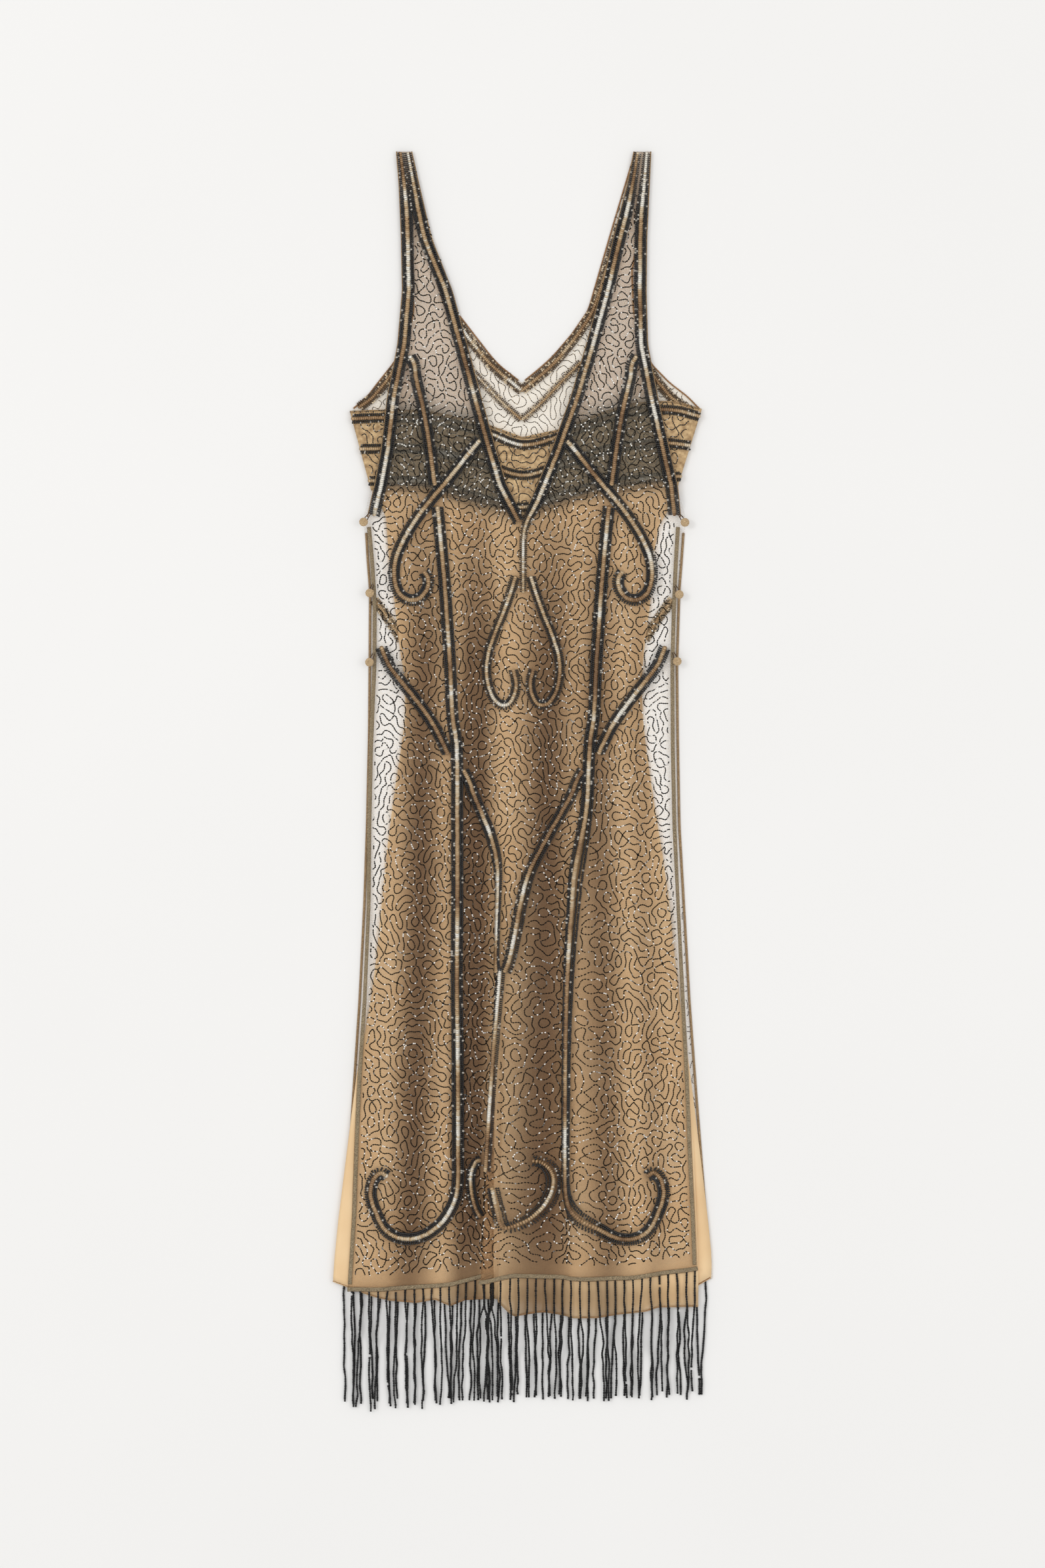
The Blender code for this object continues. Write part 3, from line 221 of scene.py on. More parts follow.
# Ornament on the front net: distance from the mirror line, drop. A curve runs through them, on past
# the ends of its solid to the line that it meets.
ORNAMENT_CENTRE = ((645, 0.0), (750, -2.1), (890, -6.3))
PRINCESS_UPPER = (
    (119, 214.5), (114, 224), (112.7, 236), (104.3, 273), (98.7, 306), (93.8, 342), (92.8, 349),
)
PRINCESS = (
    (90, 373), (89, 381), (85.8, 415), (82.3, 454), (79.5, 496), (76.7, 537), (74, 593), (69.8, 623),
    (67.9, 706), (65.7, 790), (63.7, 872), (62.3, 948), (62, 1050), (63, 1090), (70.7, 1111), (83.3, 1127),
    (103, 1139), (123, 1139.6), (138.6, 1130), (149, 1110), (153.6, 1093), (150.5, 1078),
    (143, 1071), (136, 1074.5),
)
BUST_SCROLL = (
    (45.5, 303.5), (51, 310), (61.5, 323), (79, 345), (98.5, 368), (114, 388.5), (125, 407), (133.5, 427.5),
    (135, 447.5), (130, 463.5), (120, 470.5), (109, 469), (101, 459.5), (99.7, 448.5), (104, 441),
)
DROP_SCROLL = (
    (8, 446), (12.8, 462), (22, 487), (30.5, 508), (36.8, 528), (38.4, 548), (34, 568), (25.6, 579.6),
    (15.8, 580), (9, 569), (7.5, 557), (10.5, 544),
)
HIP_LINE = (
    (149, 520), (141, 538.5), (128, 556), (114, 573.5), (101, 591), (91.4, 606), (84.5, 620), (79.5, 631),
)
VEE_LINE = (
    (62.5, 649), (56, 661), (51.8, 673.5), (40, 698), (31.5, 715), (19, 750), (14.7, 778), (11.2, 822.5),
    (8, 850), (5, 861),
)
CENTRE_STEM = ((0, 858), (0, 950), (0, 1068))
HEM_SCROLL_RIGHT = (
    (8, 1085), (14, 1111), (19, 1127), (31, 1122), (40, 1111), (46, 1097), (48.5, 1080),
    (46.5, 1068), (41, 1059.5), (34.5, 1058),
)
HEM_SCROLL_LEFT = (
    (35, 1118), (41, 1110), (46, 1097), (48.5, 1080), (46.5, 1068), (41, 1059.5), (36, 1058),
)
# Name, route and width of each line that has a mirrored partner
ORNAMENTS = (
    ("princess_upper", PRINCESS_UPPER, 12.0),
    ("princess_trim", PRINCESS, 12.5),
    ("bust_scroll", BUST_SCROLL, 12.0),
    ("drop_scroll", DROP_SCROLL, 10.0),
    ("hip_line", HIP_LINE, 12.0),
    ("vee_line", VEE_LINE, 11.5),
)
SCROLL_WIDTH = 11.0
STEM_WIDTH = 10.0
# The neck bands meet under the V: across, drop, half width
TAIL_ROUTE = (
    (15.6, 366.0, 6.0), (11.6, 374.0, 5.6), (4.2, 388.0, 4.7), (0.6, 402.0, 4.0), (0.0, 425.0, 4.0),
    (0.0, 450.0, 3.6), (0.0, 462.0, 3.4),
)
LEFT_NECK_END = (-4.7, 388.4, 6.0)

# Trims on the back net where it shows: distance from the centre, drop
BACK_CENTRE = ((0, -1.4),)
BACK_ORNAMENTS = (
    (
        "back_neck_trim",
        (
            (103.0, 77.0), (88.5, 125.0), (74.7, 166.0), (60.0, 190.0), (49.5, 203.5), (38.0, 217.5),
            (27.0, 228.5), (0.4, 250.5),
        ),
        10.0,
    ),
    ("back_chevron", ((62.0, 221.0), (43.0, 240.0), (22.0, 262.0), (0.4, 281.5)), 8.0),
    (
        "back_armhole_trim",
        ((134.5, 229.0), (141.0, 239.5), (149.0, 249.0), (158.0, 259.0), (170.5, 268.0)),
        10.0,
    ),
)
# A short band on the back net that shows through the front one at each hip
BACK_HIP = ((157.0, 470.0), (148.0, 481.0), (138.0, 496.0), (128.0, 512.0))
HIP_WIDTH = 10.0

# Fringe of bead strands
STRAND_PITCH = 9.5
STRAND_LENGTH = 126.5
STRAND_VARIES = 3.5
STRAND_SPACING = 2.4
FRONT_REST = 2.6
# Lengths of a strand: what stays level past the skirt's hem, moves aside, and comes down
STRAND_CLEAR = 4.0
STRAND_APART = 22.0
STRAND_LANDING = 28.0

# Covered buttons on the edges of the back net: across, drop
BUTTONS_LEFT = ((-167.3, 389.0), (-160.8, 463.5), (-161.1, 536.0))
BUTTONS_RIGHT = ((169.6, 389.5), (163.6, 465.0), (161.5, 535.0))
SHANK_RADIUS = 1.1
DISC_BOTTOM = 7.1
# Button profile: radius, height above the underside of the disc
BUTTON_PROFILE = ((3.6, 0.0), (4.6, 0.9), (4.5, 1.8), (3.4, 2.8), (1.8, 3.3))
BUTTON_TOP = 3.5

# The scene's Y of the strap tops, in millimetres
TOP_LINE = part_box("panel_front")[1].y / MM
# The photograph's frame: scale, centre in the cut, height in pixels, and the lens
PHOTO_SCALE = 0.70
PHOTO_CENTRE = (-0.7, 663.6)
PHOTO_HEIGHT = 2352
LENS = 85.0
SENSOR = 36.0
FLOOR_SIZE = 30.0


def camera():
    """Look straight down, so far away that the photograph's height fills the frame."""
    data = bpy.data.cameras.new("camera")
    data.lens = LENS
    data.sensor_width = SENSOR
    data.clip_end = 50.0
    eye = bpy.data.objects.new("camera", data)
    bpy.context.collection.objects.link(eye)
    reach = PHOTO_HEIGHT * PHOTO_SCALE * MM
    across, drop = PHOTO_CENTRE
    eye.location = (across * MM, (TOP_LINE - drop) * MM, reach * LENS / SENSOR)
    bpy.context.scene.camera = eye


def between(table, position, column=1):
    """Value of a table's column, read in straight lines between its rows."""
    rows = np.array(table, float)
    return np.interp(position, rows[:, 0], rows[:, column])


def share_of(value, span):
    """How far a value has come from the start of a span, 0, to its end, 1."""
    return (value - span[0]) / (span[1] - span[0])


def ease(value):
    """Rise from 0 to 1 with level ends: 3 t squared less 2 t cubed."""
    held = np.clip(value, 0.0, 1.0)
    return held * held * (3.0 - 2.0 * held)


def mound(distance, half_width):
    """Squared cosine of the distance: 1 in the middle and 0 at the half width."""
    near = np.clip(np.abs(distance) / half_width, 0.0, 1.0)
    return np.cos(0.5 * np.pi * near) ** 2


def edges(table, drop):
    """A panel's outer left, neck left, neck right and outer right edge at a drop."""
    return [between(table, drop, column) for column in (1, 2, 3, 4)]


def mounds(across, drop, table):
    """Sum of mounds on the front net: fraction of its width, height and half width of each."""
    left, right = edges(FRONT_CUT, drop)[::3]
    return sum(
        height * mound(across - left - fraction * (right - left), half_width)
        for fraction, height, half_width in table
    )


def fold_height(across, drop):
    """Sum of the soft mounds and the deep fold's mound, each with its height at this drop."""
    flank = np.where(across < ROLL_CREST, ROLL_LEFT, ROLL_RIGHT)
    soft = between(SOFT_RISE, drop) * mounds(across, drop, SOFT_FOLDS)
    return soft + between(ROLL_RISE, drop) * mound(across - ROLL_CREST, flank)


def lean(across, drop):
    """Sideways shift for each millimetre of height, where the deep fold rolls over."""
    beside = ease(share_of(across, LEAN_LEFT)) * (1.0 - ease(share_of(across, LEAN_RIGHT)))
    return ROLL_LEAN * beside * ease(share_of(drop, LEAN_DROP))


def stretch(across, drop, share):
    """Height that a wall of one takes up: the length of (1 + lean times slope, slope)."""
    slope = share * (fold_height(across + 1.0, drop) - fold_height(across - 1.0, drop)) / 2.0
    return np.clip(np.hypot(1.0 + lean(across, drop) * slope, slope), 1.0, MOST_STRETCH)


def front_base(across, drop):
    """Height at which the net lies: on the straps, the bandeau, the skirt or the back net."""
    climb = np.clip(share_of(drop, CLIMB_DROPS), 0.0, 1.0)
    descent = ease(share_of(drop, DESCENT_DROPS))
    base = STRAP_BASE + (BUST_BASE - STRAP_BASE) * climb + (SKIRT_BASE - BUST_BASE) * descent
    edge = np.where(across < 0, between(SKIRT_CUT, drop, 1), between(SKIRT_CUT, drop, 2))
    beyond = np.abs(across) - np.abs(edge)
    outside = ease(share_of(beyond, SINK_BEYOND)) * ease(share_of(drop, SINK_DROPS))
    return base + (EDGE_BASE - base) * outside


def spot(across, drop, height):
    """Scene points, in metres, of points of the cut at a height over the surface."""
    across, drop, height = np.broadcast_arrays(across, drop, height)
    return MM * np.stack([across, TOP_LINE - drop, height], axis=-1)


def over_front(across, drop, lift):
    """The front net: its underside and the lift times the stretch, moved aside by the lean."""
    height = front_base(across, drop) + fold_height(across, drop) + lift * stretch(across, drop, 1.0)
    return spot(across + lean(across, drop) * (height - SKIRT_BASE), drop, height)


def over_skirt(across, drop, lift):
    """The slip's front skirt: half the net's folds, with small flutes that grow to the hem."""
    rise = SLIP_FOLD_SHARE * fold_height(across, drop) + hem_flutes(across, drop)
    height = SLIP_FRONT_BOTTOM + rise + lift * stretch(across, drop, SLIP_FOLD_SHARE)
    return spot(across + lean(across, drop) * (height - SKIRT_BASE), drop, height)


FLUTE_HEIGHT = 0.7
FLUTE_DROPS = (1140.0, 1205.0)


def hem_flutes(across, drop):
    """Flutes of the slip's hem: a sine across, whose phase drifts, rising over its last stretch."""
    phase = across / 9.5 + 1.7 * np.sin(across / 31.0)
    return FLUTE_HEIGHT * (1.0 + np.sin(phase)) * ease(share_of(drop, FLUTE_DROPS))


def over_back(across, drop, lift):
    """The back net lies flat on the surface."""
    return spot(across, drop, lift)


def over_bandeau(across, drop, lift):
    """The front of the bandeau, flat over the back one, drawn into small crinkles."""
    crinkle = 0.25 * np.sin(across / 2.6 + 2.0 * np.sin(drop / 17.0)) * np.sin(drop / 9.0 + across / 23.0)
    return spot(across, drop, SLIP_FRONT_BOTTOM + lift + crinkle * np.clip(lift, 0.0, 1.0))


def unit(vectors):
    """Vectors scaled to length one."""
    return vectors / np.maximum(np.linalg.norm(vectors, axis=-1, keepdims=True), 1e-12)


def frames_on(surface, across, drop, lift, heading):
    """Centre, forward, aside and upright at points of a surface, for headings in the cut."""
    step = 0.4
    centre = surface(across, drop, lift)
    ahead = surface(across + step * heading[..., 0], drop + step * heading[..., 1], lift)
    beside = surface(across + step * heading[..., 1], drop - step * heading[..., 0], lift)
    forward = unit(ahead - centre)
    upright = unit(np.cross(forward, beside - centre))
    return centre, forward, np.cross(upright, forward), upright


def make_piece(name, points, faces, finishes, slots=None, **amounts):
    """Put arrays of points and faces, with numbers for each point, into a mesh that rides."""
    points = np.asarray(points, np.float32).reshape(-1, 3)
    faces = np.asarray(faces, np.int32)
    mesh = bpy.data.meshes.new(name)
    mesh.vertices.add(len(points))
    mesh.vertices.foreach_set("co", points.ravel())
    mesh.loops.add(faces.size)
    mesh.loops.foreach_set("vertex_index", faces.ravel())
    mesh.polygons.add(len(faces))
    mesh.polygons.foreach_set("loop_start", np.arange(len(faces), dtype=np.int32) * faces.shape[1])
    for finish in finishes:
        mesh.materials.append(finish)
    if slots is not None:
        mesh.polygons.foreach_set("material_index", np.asarray(slots, np.int32))
    for word, values in amounts.items():
        held = mesh.attributes.new(word, "FLOAT", "POINT")
        held.data.foreach_set("value", np.asarray(values, np.float32).ravel())
    mesh.update(calc_edges=True)
    mesh.shade_smooth()
    thing = bpy.data.objects.new(name, mesh)
    bpy.context.collection.objects.link(thing)
    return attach(thing, "root") or thing


def grid_faces(index):
    """Quads between the neighbours of a grid of point numbers, which face up."""
    corners = (index[:-1, :-1], index[1:, :-1], index[1:, 1:], index[:-1, 1:])
    return np.stack(corners, axis=-1).reshape(-1, 4)


def closed_wall(quads, count):
    """Faces of an upper sheet, of the lower sheet numbered after it, and of the rim between."""
    ends = np.stack([quads, np.roll(quads, -1, axis=1)], axis=-1).reshape(-1, 2)
    open_edge = ~np.isin(ends[:, 0] * count + ends[:, 1], ends[:, 1] * count + ends[:, 0])
    a, b = ends[open_edge].T
    rim = np.stack([b, a, a + count, b + count], axis=-1)
    return np.concatenate([quads, quads[:, ::-1] + count, rim])


def let_light_through(piece):
    """Open net and small beads: a piece shades nothing in a render, by its shadow or its nearness."""
    piece.visible_shadow = False
    piece.visible_diffuse = False


def stand_for(piece, node):
    """Show a piece in its solid's place, with the solid hidden."""
    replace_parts(piece, node)


def cloth_piece(name, surface, cut, quads, lifts, finish, **amounts):
    """A closed sheet between two lifts of a surface, over points (across, drop) of its cut."""
    used, numbers = np.unique(quads, return_inverse=True)
    quads = numbers.reshape(quads.shape)
    across, drop = cut[used].T
    upper = surface(across, drop, lifts[1])
    lower = surface(across, drop, lifts[0])
    doubled = {word: np.tile(values[used], 2) for word, values in amounts.items()}
    faces = closed_wall(quads, len(used))
    return make_piece(name, np.concatenate([upper, lower]), faces, [finish], **doubled)


def panel_cut(table, v_drop, hem, strap_rows, skirt_rows, columns):
    """Points and quads of a net panel: two halves on a grid, welded at the centre below the V."""
    last = table[-1][0]
    drops = np.concatenate([np.linspace(0, v_drop, strap_rows), np.linspace(v_drop, last, skirt_rows)[1:]])
    fractions = np.linspace(0.0, 1.0, columns)
    left, neck_left, neck_right, right = edges(table, drops[:, None])
    halves = [left + fractions * (neck_left - left), neck_right + fractions * (right - neck_right)]
    index = np.arange(2 * len(drops) * columns).reshape(2, len(drops), columns)
    joined = drops >= v_drop
    index[1, joined, 0] = index[0, joined, -1]
    points = []
    for across in halves:
        share = share_of(across, (left, right))
        run = (between(hem, share) - last) * ease(share_of(drops, (last - 90.0, last)))[:, None]
        points.append(np.stack([across, drops[:, None] + run], axis=-1).reshape(-1, 2))
    quads = np.concatenate([grid_faces(index[0]), grid_faces(index[1])])
    return np.concatenate(points), quads


SPAN_STEPS = 12


def smooth_route(points):
    """Points along a curve through the given ones: Hermite spans with slopes from neighbours."""
    spots = np.array(points, float)
    gaps = np.linalg.norm(np.diff(spots[:, :2], axis=0), axis=1)[:, None]
    slopes = np.empty_like(spots)
    slopes[0] = (spots[1] - spots[0]) / gaps[0]
    slopes[-1] = (spots[-1] - spots[-2]) / gaps[-1]
    slopes[1:-1] = (spots[2:] - spots[:-2]) / (gaps[:-1] + gaps[1:])
    t = (np.arange(SPAN_STEPS) / SPAN_STEPS)[:, None, None]
    start = (2 * t**3 - 3 * t**2 + 1) * spots[:-1] + (t**3 - 2 * t**2 + t) * gaps * slopes[:-1]
    end = (3 * t**2 - 2 * t**3) * spots[1:] + (t**3 - t**2) * gaps * slopes[1:]
    spans = (start + end).transpose(1, 0, 2).reshape(-1, spots.shape[1])
    return np.concatenate([spans, spots[-1:]])


def paced(route, pitch, start=0.5):
    """Even steps along a route of rows (across, drop, ...), with the heading at each."""
    lengths = np.linalg.norm(np.diff(route[:, :2], axis=0), axis=1)
    travelled = np.concatenate([[0.0], np.cumsum(lengths)])
    places = np.arange(start * pitch, travelled[-1], pitch)
    rows = np.stack([np.interp(places, travelled, column) for column in route.T], axis=-1)
    near = np.stack(
        [[np.interp(places + reach, travelled, column) for column in route.T[:2]] for reach in (-1.0, 1.0)]
    )
    return rows, unit((near[1] - near[0]).T)


def lathe(radii, places, sides):
    """A small body round the forward axis: rings of radii at places, closed by a point at each end."""
    angles = 2.0 * np.pi * (np.arange(sides) + 0.5) / sides
    rings = [
        np.stack([np.full(sides, place), radius * np.cos(angles), radius * np.sin(angles)], axis=-1)
        for radius, place in zip(radii[1:-1], places[1:-1])
    ]
    points = np.concatenate([[[places[0], 0.0, 0.0]], *rings, [[places[-1], 0.0, 0.0]]])
    step = np.arange(sides)
    after = (step + 1) % sides
    faces = [np.stack([np.zeros(sides, int), 1 + after, 1 + step], axis=-1)]
    for ring in range(len(rings) - 1):
        low = 1 + ring * sides
        faces.append(np.stack([low + step, low + after, low + sides + after], axis=-1))
        faces.append(np.stack([low + step, low + sides + after, low + sides + step], axis=-1))
    low = 1 + (len(rings) - 1) * sides
    faces.append(np.stack([low + step, low + after, np.full(sides, len(points) - 1)], axis=-1))
    return points, np.concatenate(faces)


def disc(sides, dish):
    """A sequin: a thin lens, dished upwards, flat across the forward and aside axes."""
    angles = 2.0 * np.pi * np.arange(sides) / sides
    rim = np.stack([np.cos(angles), np.sin(angles), np.full(sides, dish)], axis=-1)
    points = np.concatenate([[[0.0, 0.0, 0.06]], rim, [[0.0, 0.0, -0.08]]])
    step = np.arange(sides)
    after = (step + 1) % sides
    upper = np.stack([np.zeros(sides, int), 1 + step, 1 + after], axis=-1)
    lower = np.stack([np.full(sides, sides + 1), 1 + after, 1 + step], axis=-1)
    return points, np.concatenate([upper, lower])


SEED_BEAD = lathe((0.0, 0.5, 0.5, 0.0), (-0.5, -0.28, 0.28, 0.5), 5)
BUGLE = lathe((0.0, 0.5, 0.0), (-0.52, 0.0, 0.52), 4)
STRAND_BEAD = lathe((0.0, 0.5, 0.5, 0.0), (-0.53, -0.4, 0.4, 0.53), 5)
SEQUIN = disc(10, 0.1)


def strewn(template, centres, forward, aside, upright, sizes):
    """Points and faces of copies of a template, in metres, each in its own frame and size."""
    points, faces = template
    sizes = MM * np.broadcast_to(np.asarray(sizes, float), (len(centres), 3))
    axes = np.stack([forward, aside, upright], axis=1) * sizes[:, :, None]
    placed = centres[:, None, :] + np.einsum("kj,njc->nkc", points, axes)
    numbers = faces + len(points) * np.arange(len(centres))[:, None, None]
    return placed.reshape(-1, 3), numbers.reshape(-1, 3)


def gathered(batches):
    """Join batches of (points, faces, slot, tones of each copy) into one set of arrays."""
    points, faces, slots, tones = [], [], [], []
    count = 0
    for spots, corners, slot, tone in batches:
        points.append(spots)
        faces.append(corners + count)
        slots.append(np.full(len(corners), slot))
        tones.append(np.repeat(tone, len(spots) // len(tone)))
        count += len(spots)
    return np.concatenate(points), np.concatenate(faces), np.concatenate(slots), np.concatenate(tones)


# Rows of a band, as shares of its half width: the black beads to each side of the sequins
BEAD_ROWS = (-0.85, -0.52, 0.52, 0.85)
BEAD_PITCH = 2.1
BEAD_SIZE = (2.15, 2.65, 2.1)
SEQUIN_PITCH = 2.1
SEQUIN_RADIUS = 2.45
SEQUIN_TILT = 0.34
FULL_BAND = 12.0
# Smallest and largest scale of both where a band is narrower or wider than a full one
BEAD_SCALES = (0.55, 1.05)
SEQUIN_SCALES = (0.6, 1.0)
# Heights of their middles above the band, and how unevenly they are sewn on
BEAD_LIFT = 0.9
SEQUIN_LIFT = 1.35
BEAD_SHIFT = 0.12
BEAD_TURN = 0.22
TILT_VARIES = 0.07
ROLL_VARIES = 0.09
# Sequins that keep near one colour, and how far each strays from it
PATCH_LENGTH = 13
PATCH_SHAKE = 0.07


def beaded_band(name, surface, route, lift, chance, beads):
    """Rows of beads with overlapping sequins between them, along (across, drop, width)."""
    batches = []
    for number, row in enumerate(BEAD_ROWS):
        steps, heading = paced(route, BEAD_PITCH, 0.3 + 0.2 * number)
        scale = np.clip(steps[:, 2] / FULL_BAND, *BEAD_SCALES)
        reach = row * steps[:, 2] / 2.0 + chance.normal(0.0, BEAD_SHIFT, len(steps))
        across = steps[:, 0] + reach * heading[:, 1]
        drop = steps[:, 1] - reach * heading[:, 0]
        centre, forward, aside, upright = frames_on(surface, across, drop, lift + BEAD_LIFT, heading)
        turn = chance.normal(0.0, BEAD_TURN, len(steps))[:, None]
        forward, aside = forward + turn * aside, aside - turn * forward
        sizes = scale[:, None] * np.array(BEAD_SIZE)
        points, faces = strewn(SEED_BEAD, centre, forward, aside, upright, sizes)
        batches.append((points, faces, 0, chance.random(len(steps))))
    steps, heading = paced(route, SEQUIN_PITCH)
    scale = np.clip(steps[:, 2] / FULL_BAND, *SEQUIN_SCALES)
    spots = frames_on(surface, steps[:, 0], steps[:, 1], lift + SEQUIN_LIFT, heading)
    centre, forward, aside, upright = spots
    tilt = (SEQUIN_TILT + chance.normal(0.0, TILT_VARIES, len(steps)))[:, None]
    roll = chance.normal(0.0, ROLL_VARIES, len(steps))[:, None]
    forward = unit(forward + tilt * upright)
    aside = unit(aside + roll * upright)
    radii = SEQUIN_RADIUS * scale[:, None]
    points, faces = strewn(SEQUIN, centre, forward, aside, np.cross(forward, aside), radii)
    batches.append((points, faces, 1, patches(len(steps), chance)))
    points, faces, slots, tones = gathered(batches)
    finishes = [MATERIALS[beads], MATERIALS["sequins"]]
    piece = make_piece(name, points, faces, finishes, slots, tone=tones)
    return piece


def patches(count, chance):
    """Numbers from 0 to 1 that keep near one another for a stretch, as sequins of one colour do."""
    knots = chance.random(count // PATCH_LENGTH + 3)
    places = np.arange(count) / PATCH_LENGTH + chance.random()
    tones = np.interp(places, np.arange(len(knots)), knots)
    return np.clip(tones + chance.normal(0.0, PATCH_SHAKE, count), 0.0, 1.0)


# The ring filter of wandering lines: its width, and how it is stretched down and across
RING_WIDTH = 0.2
RING_DOWN = 1.12
RING_ACROSS = 0.9


def wandering_lines(seed, width, depth, spacing, cell):
    """Ends of short straight pieces of curling lines that never cross, on a field of width by depth.

    White noise is passed through a ring filter, exp(-((k / k0 - 1) / ring width) squared), so that
    it waves at twice the spacing. The lines are where it is zero: in each square cell they run
    between the sides where it changes sign.
    """
    chance = np.random.default_rng(seed)
    rows, columns = int(depth / cell) + 1, int(width / cell) + 1
    up = np.fft.fftfreq(rows, cell)[:, None] * RING_DOWN
    along = np.fft.rfftfreq(columns, cell)[None, :] * RING_ACROSS
    ring = np.exp(-(((np.hypot(up, along) * 2.0 * spacing - 1.0) / RING_WIDTH) ** 2))
    field = np.fft.irfft2(np.fft.rfft2(chance.normal(size=(rows, columns))) * ring, (rows, columns))
    value = np.stack([field[:-1, :-1], field[:-1, 1:], field[1:, 1:], field[1:, :-1]])
    after = np.roll(value, -1, axis=0)
    crossed = (value > 0) != (after > 0)
    share = value / np.where(crossed, value - after, 1.0)
    corner = np.array(((0, 0), (1, 0), (1, 1), (0, 1)), float)
    side = np.roll(corner, -1, axis=0) - corner
    row, column = np.indices(field[:-1, :-1].shape)
    base = np.stack([column, row], axis=-1)
    place = base + corner[:, None, None] + share[..., None] * side[:, None, None]
    ends = []
    twice = crossed.sum(axis=0) == 2
    for first, second in ((0, 1), (0, 2), (0, 3), (1, 2), (1, 3), (2, 3)):
        here = twice & crossed[first] & crossed[second]
        ends.append(np.stack([place[first][here], place[second][here]], axis=1))
    return cell * np.concatenate(ends)


# The map of covered places in millimetres: its size, where across 0 and drop 0 lie on it, and how far
# from a route it looks
MAP_SIZE = (520, 1420)
MAP_ORIGIN = (260, 60)
MAP_REACH = 12


def near_routes(across, drop, routes, margin):
    """Whether points lie within half the width and a margin of any route, told on a 1 mm map."""
    offsets = np.array(list(product(range(-MAP_REACH, MAP_REACH + 1), repeat=2)))
    away = np.hypot(offsets[:, 0], offsets[:, 1])
    covered = np.zeros(MAP_SIZE, bool)
    for route in routes:
        steps = paced(route, 1.0)[0]
        cells = np.rint(steps[:, :2]).astype(int)[:, None] + offsets
        held = away <= steps[:, 2:3] / 2.0 + margin
        found = np.clip(cells[held] + MAP_ORIGIN, 0, np.array(MAP_SIZE) - 1)
        covered[tuple(found.T)] = True
    return covered[np.rint(across).astype(int) + MAP_ORIGIN[0], np.rint(drop).astype(int) + MAP_ORIGIN[1]]


# Beads on wandering lines: the shortest piece of line that gets one, as a share of the bead's length, how
# much longer than its piece it is, and what the painted glints add to its tone
SHORTEST = 0.35
OVERLAP = 1.5
GLINT_BOOST = 0.06


def vermicelli(names, surface, ends, kept, lift, size, finish, seed, split=(), painted_glints=None):
    """A bugle bead on each piece of wandering line that is kept, in pieces split by their drop.

    Painted glints, from 0 to 1 at a place, bring more of the bright beads there.
    """
    middle = ends.mean(axis=1)
    run = ends[:, 1] - ends[:, 0]
    length = np.linalg.norm(run, axis=1)
    keep = (length > SHORTEST * size[0]) & kept(middle[:, 0], middle[:, 1])
    middle, heading, length = middle[keep], unit(run[keep]), length[keep]
    chance = np.random.default_rng(seed)
    bounds = (-np.inf, *split, np.inf)
    for name, low, high in zip(names, bounds, bounds[1:]):
        here = (middle[:, 1] > low) & (middle[:, 1] <= high)
        spots = frames_on(surface, middle[here, 0], middle[here, 1], lift, heading[here])
        sizes = np.stack([OVERLAP * length[here], *(np.full(here.sum(), each) for each in size[1:])], axis=-1)
        points, faces = strewn(BUGLE, *spots, sizes)
        tone = chance.random(here.sum())
        if painted_glints:
            tone = np.clip(tone + GLINT_BOOST * painted_glints(*middle[here].T), 0.0, 1.0)
        tones = np.repeat(tone, len(BUGLE[0]))
        let_light_through(make_piece(name, points, faces, [finish], tone=tones))


class Wire:
    """A socket of a material's nodes; arithmetic on it adds the Math nodes that work it out."""

    def __init__(self, tree, socket=None):
        self.tree = tree
        self.socket = socket

    def node(self, kind, settings=(), inputs=(), output=0):
        """Add a node: its type, its settings, the values or wires of its sockets, and its output."""
        made = self.tree.nodes.new(kind)
        for word, value in dict(settings).items():
            if word == "stops":
                for element, (place, colour) in zip(spread_stops(made.color_ramp, len(value)), value):
                    element.position = place
                    element.color = (*colour, 1.0)
            else:
                setattr(made, word, value)
        for word, value in dict(inputs).items():
            if isinstance(value, Wire):
                self.tree.links.new(value.socket, made.inputs[word])
            else:
                made.inputs[word].default_value = value
        return Wire(self.tree, made.outputs[output])

    def math(self, operation, *values):
        """A Math node of this operation on values and wires."""
        return self.node("ShaderNodeMath", {"operation": operation}, dict(enumerate(values)))

    def __add__(self, other):
        return self.math("ADD", self, other)

    __radd__ = __add__

    def __sub__(self, other):
        return self.math("SUBTRACT", self, other)

    def __rsub__(self, other):
        return self.math("SUBTRACT", other, self)

    def __mul__(self, other):
        return self.math("MULTIPLY", self, other)

    __rmul__ = __mul__

    def mix(self, low, high):
        """The colour that this share of the way from one colour to another gives."""
        colours = {
            key: value if isinstance(value, Wire) else (*value, 1.0) for key, value in ((6, low), (7, high))
        }
        return self.node("ShaderNodeMix", {"data_type": "RGBA"}, {0: self, **colours}, 2)

    def amount(self, word):
        """The number that the mesh holds under this word."""
        return self.node("ShaderNodeAttribute", {"attribute_name": word}, output=2)

    def place(self):
        """Where a point lies on the piece, in metres."""
        return self.node("ShaderNodeTexCoord", output=3)

    def noise(self, size, detail):
        """Noise with lumps of a size in millimetres, from 0 to 1."""
        inputs = {"Vector": self.place(), "Scale": 1.0 / (size * MM), "Detail": detail}
        return self.node("ShaderNodeTexNoise", inputs=inputs)

    def bump(self, height, distance):
        """The normal of a surface raised by a height from 0 to 1 times a distance in millimetres."""
        inputs = {"Height": height, "Distance": distance * MM, "Strength": 1.0}
        return self.node("ShaderNodeBump", inputs=inputs)

    def clear(self, low, high):
        """This number spread so that low becomes 0 and high 1, and held there."""
        inputs = {0: self, 1: low, 2: high}
        return self.node("ShaderNodeMapRange", inputs=inputs)


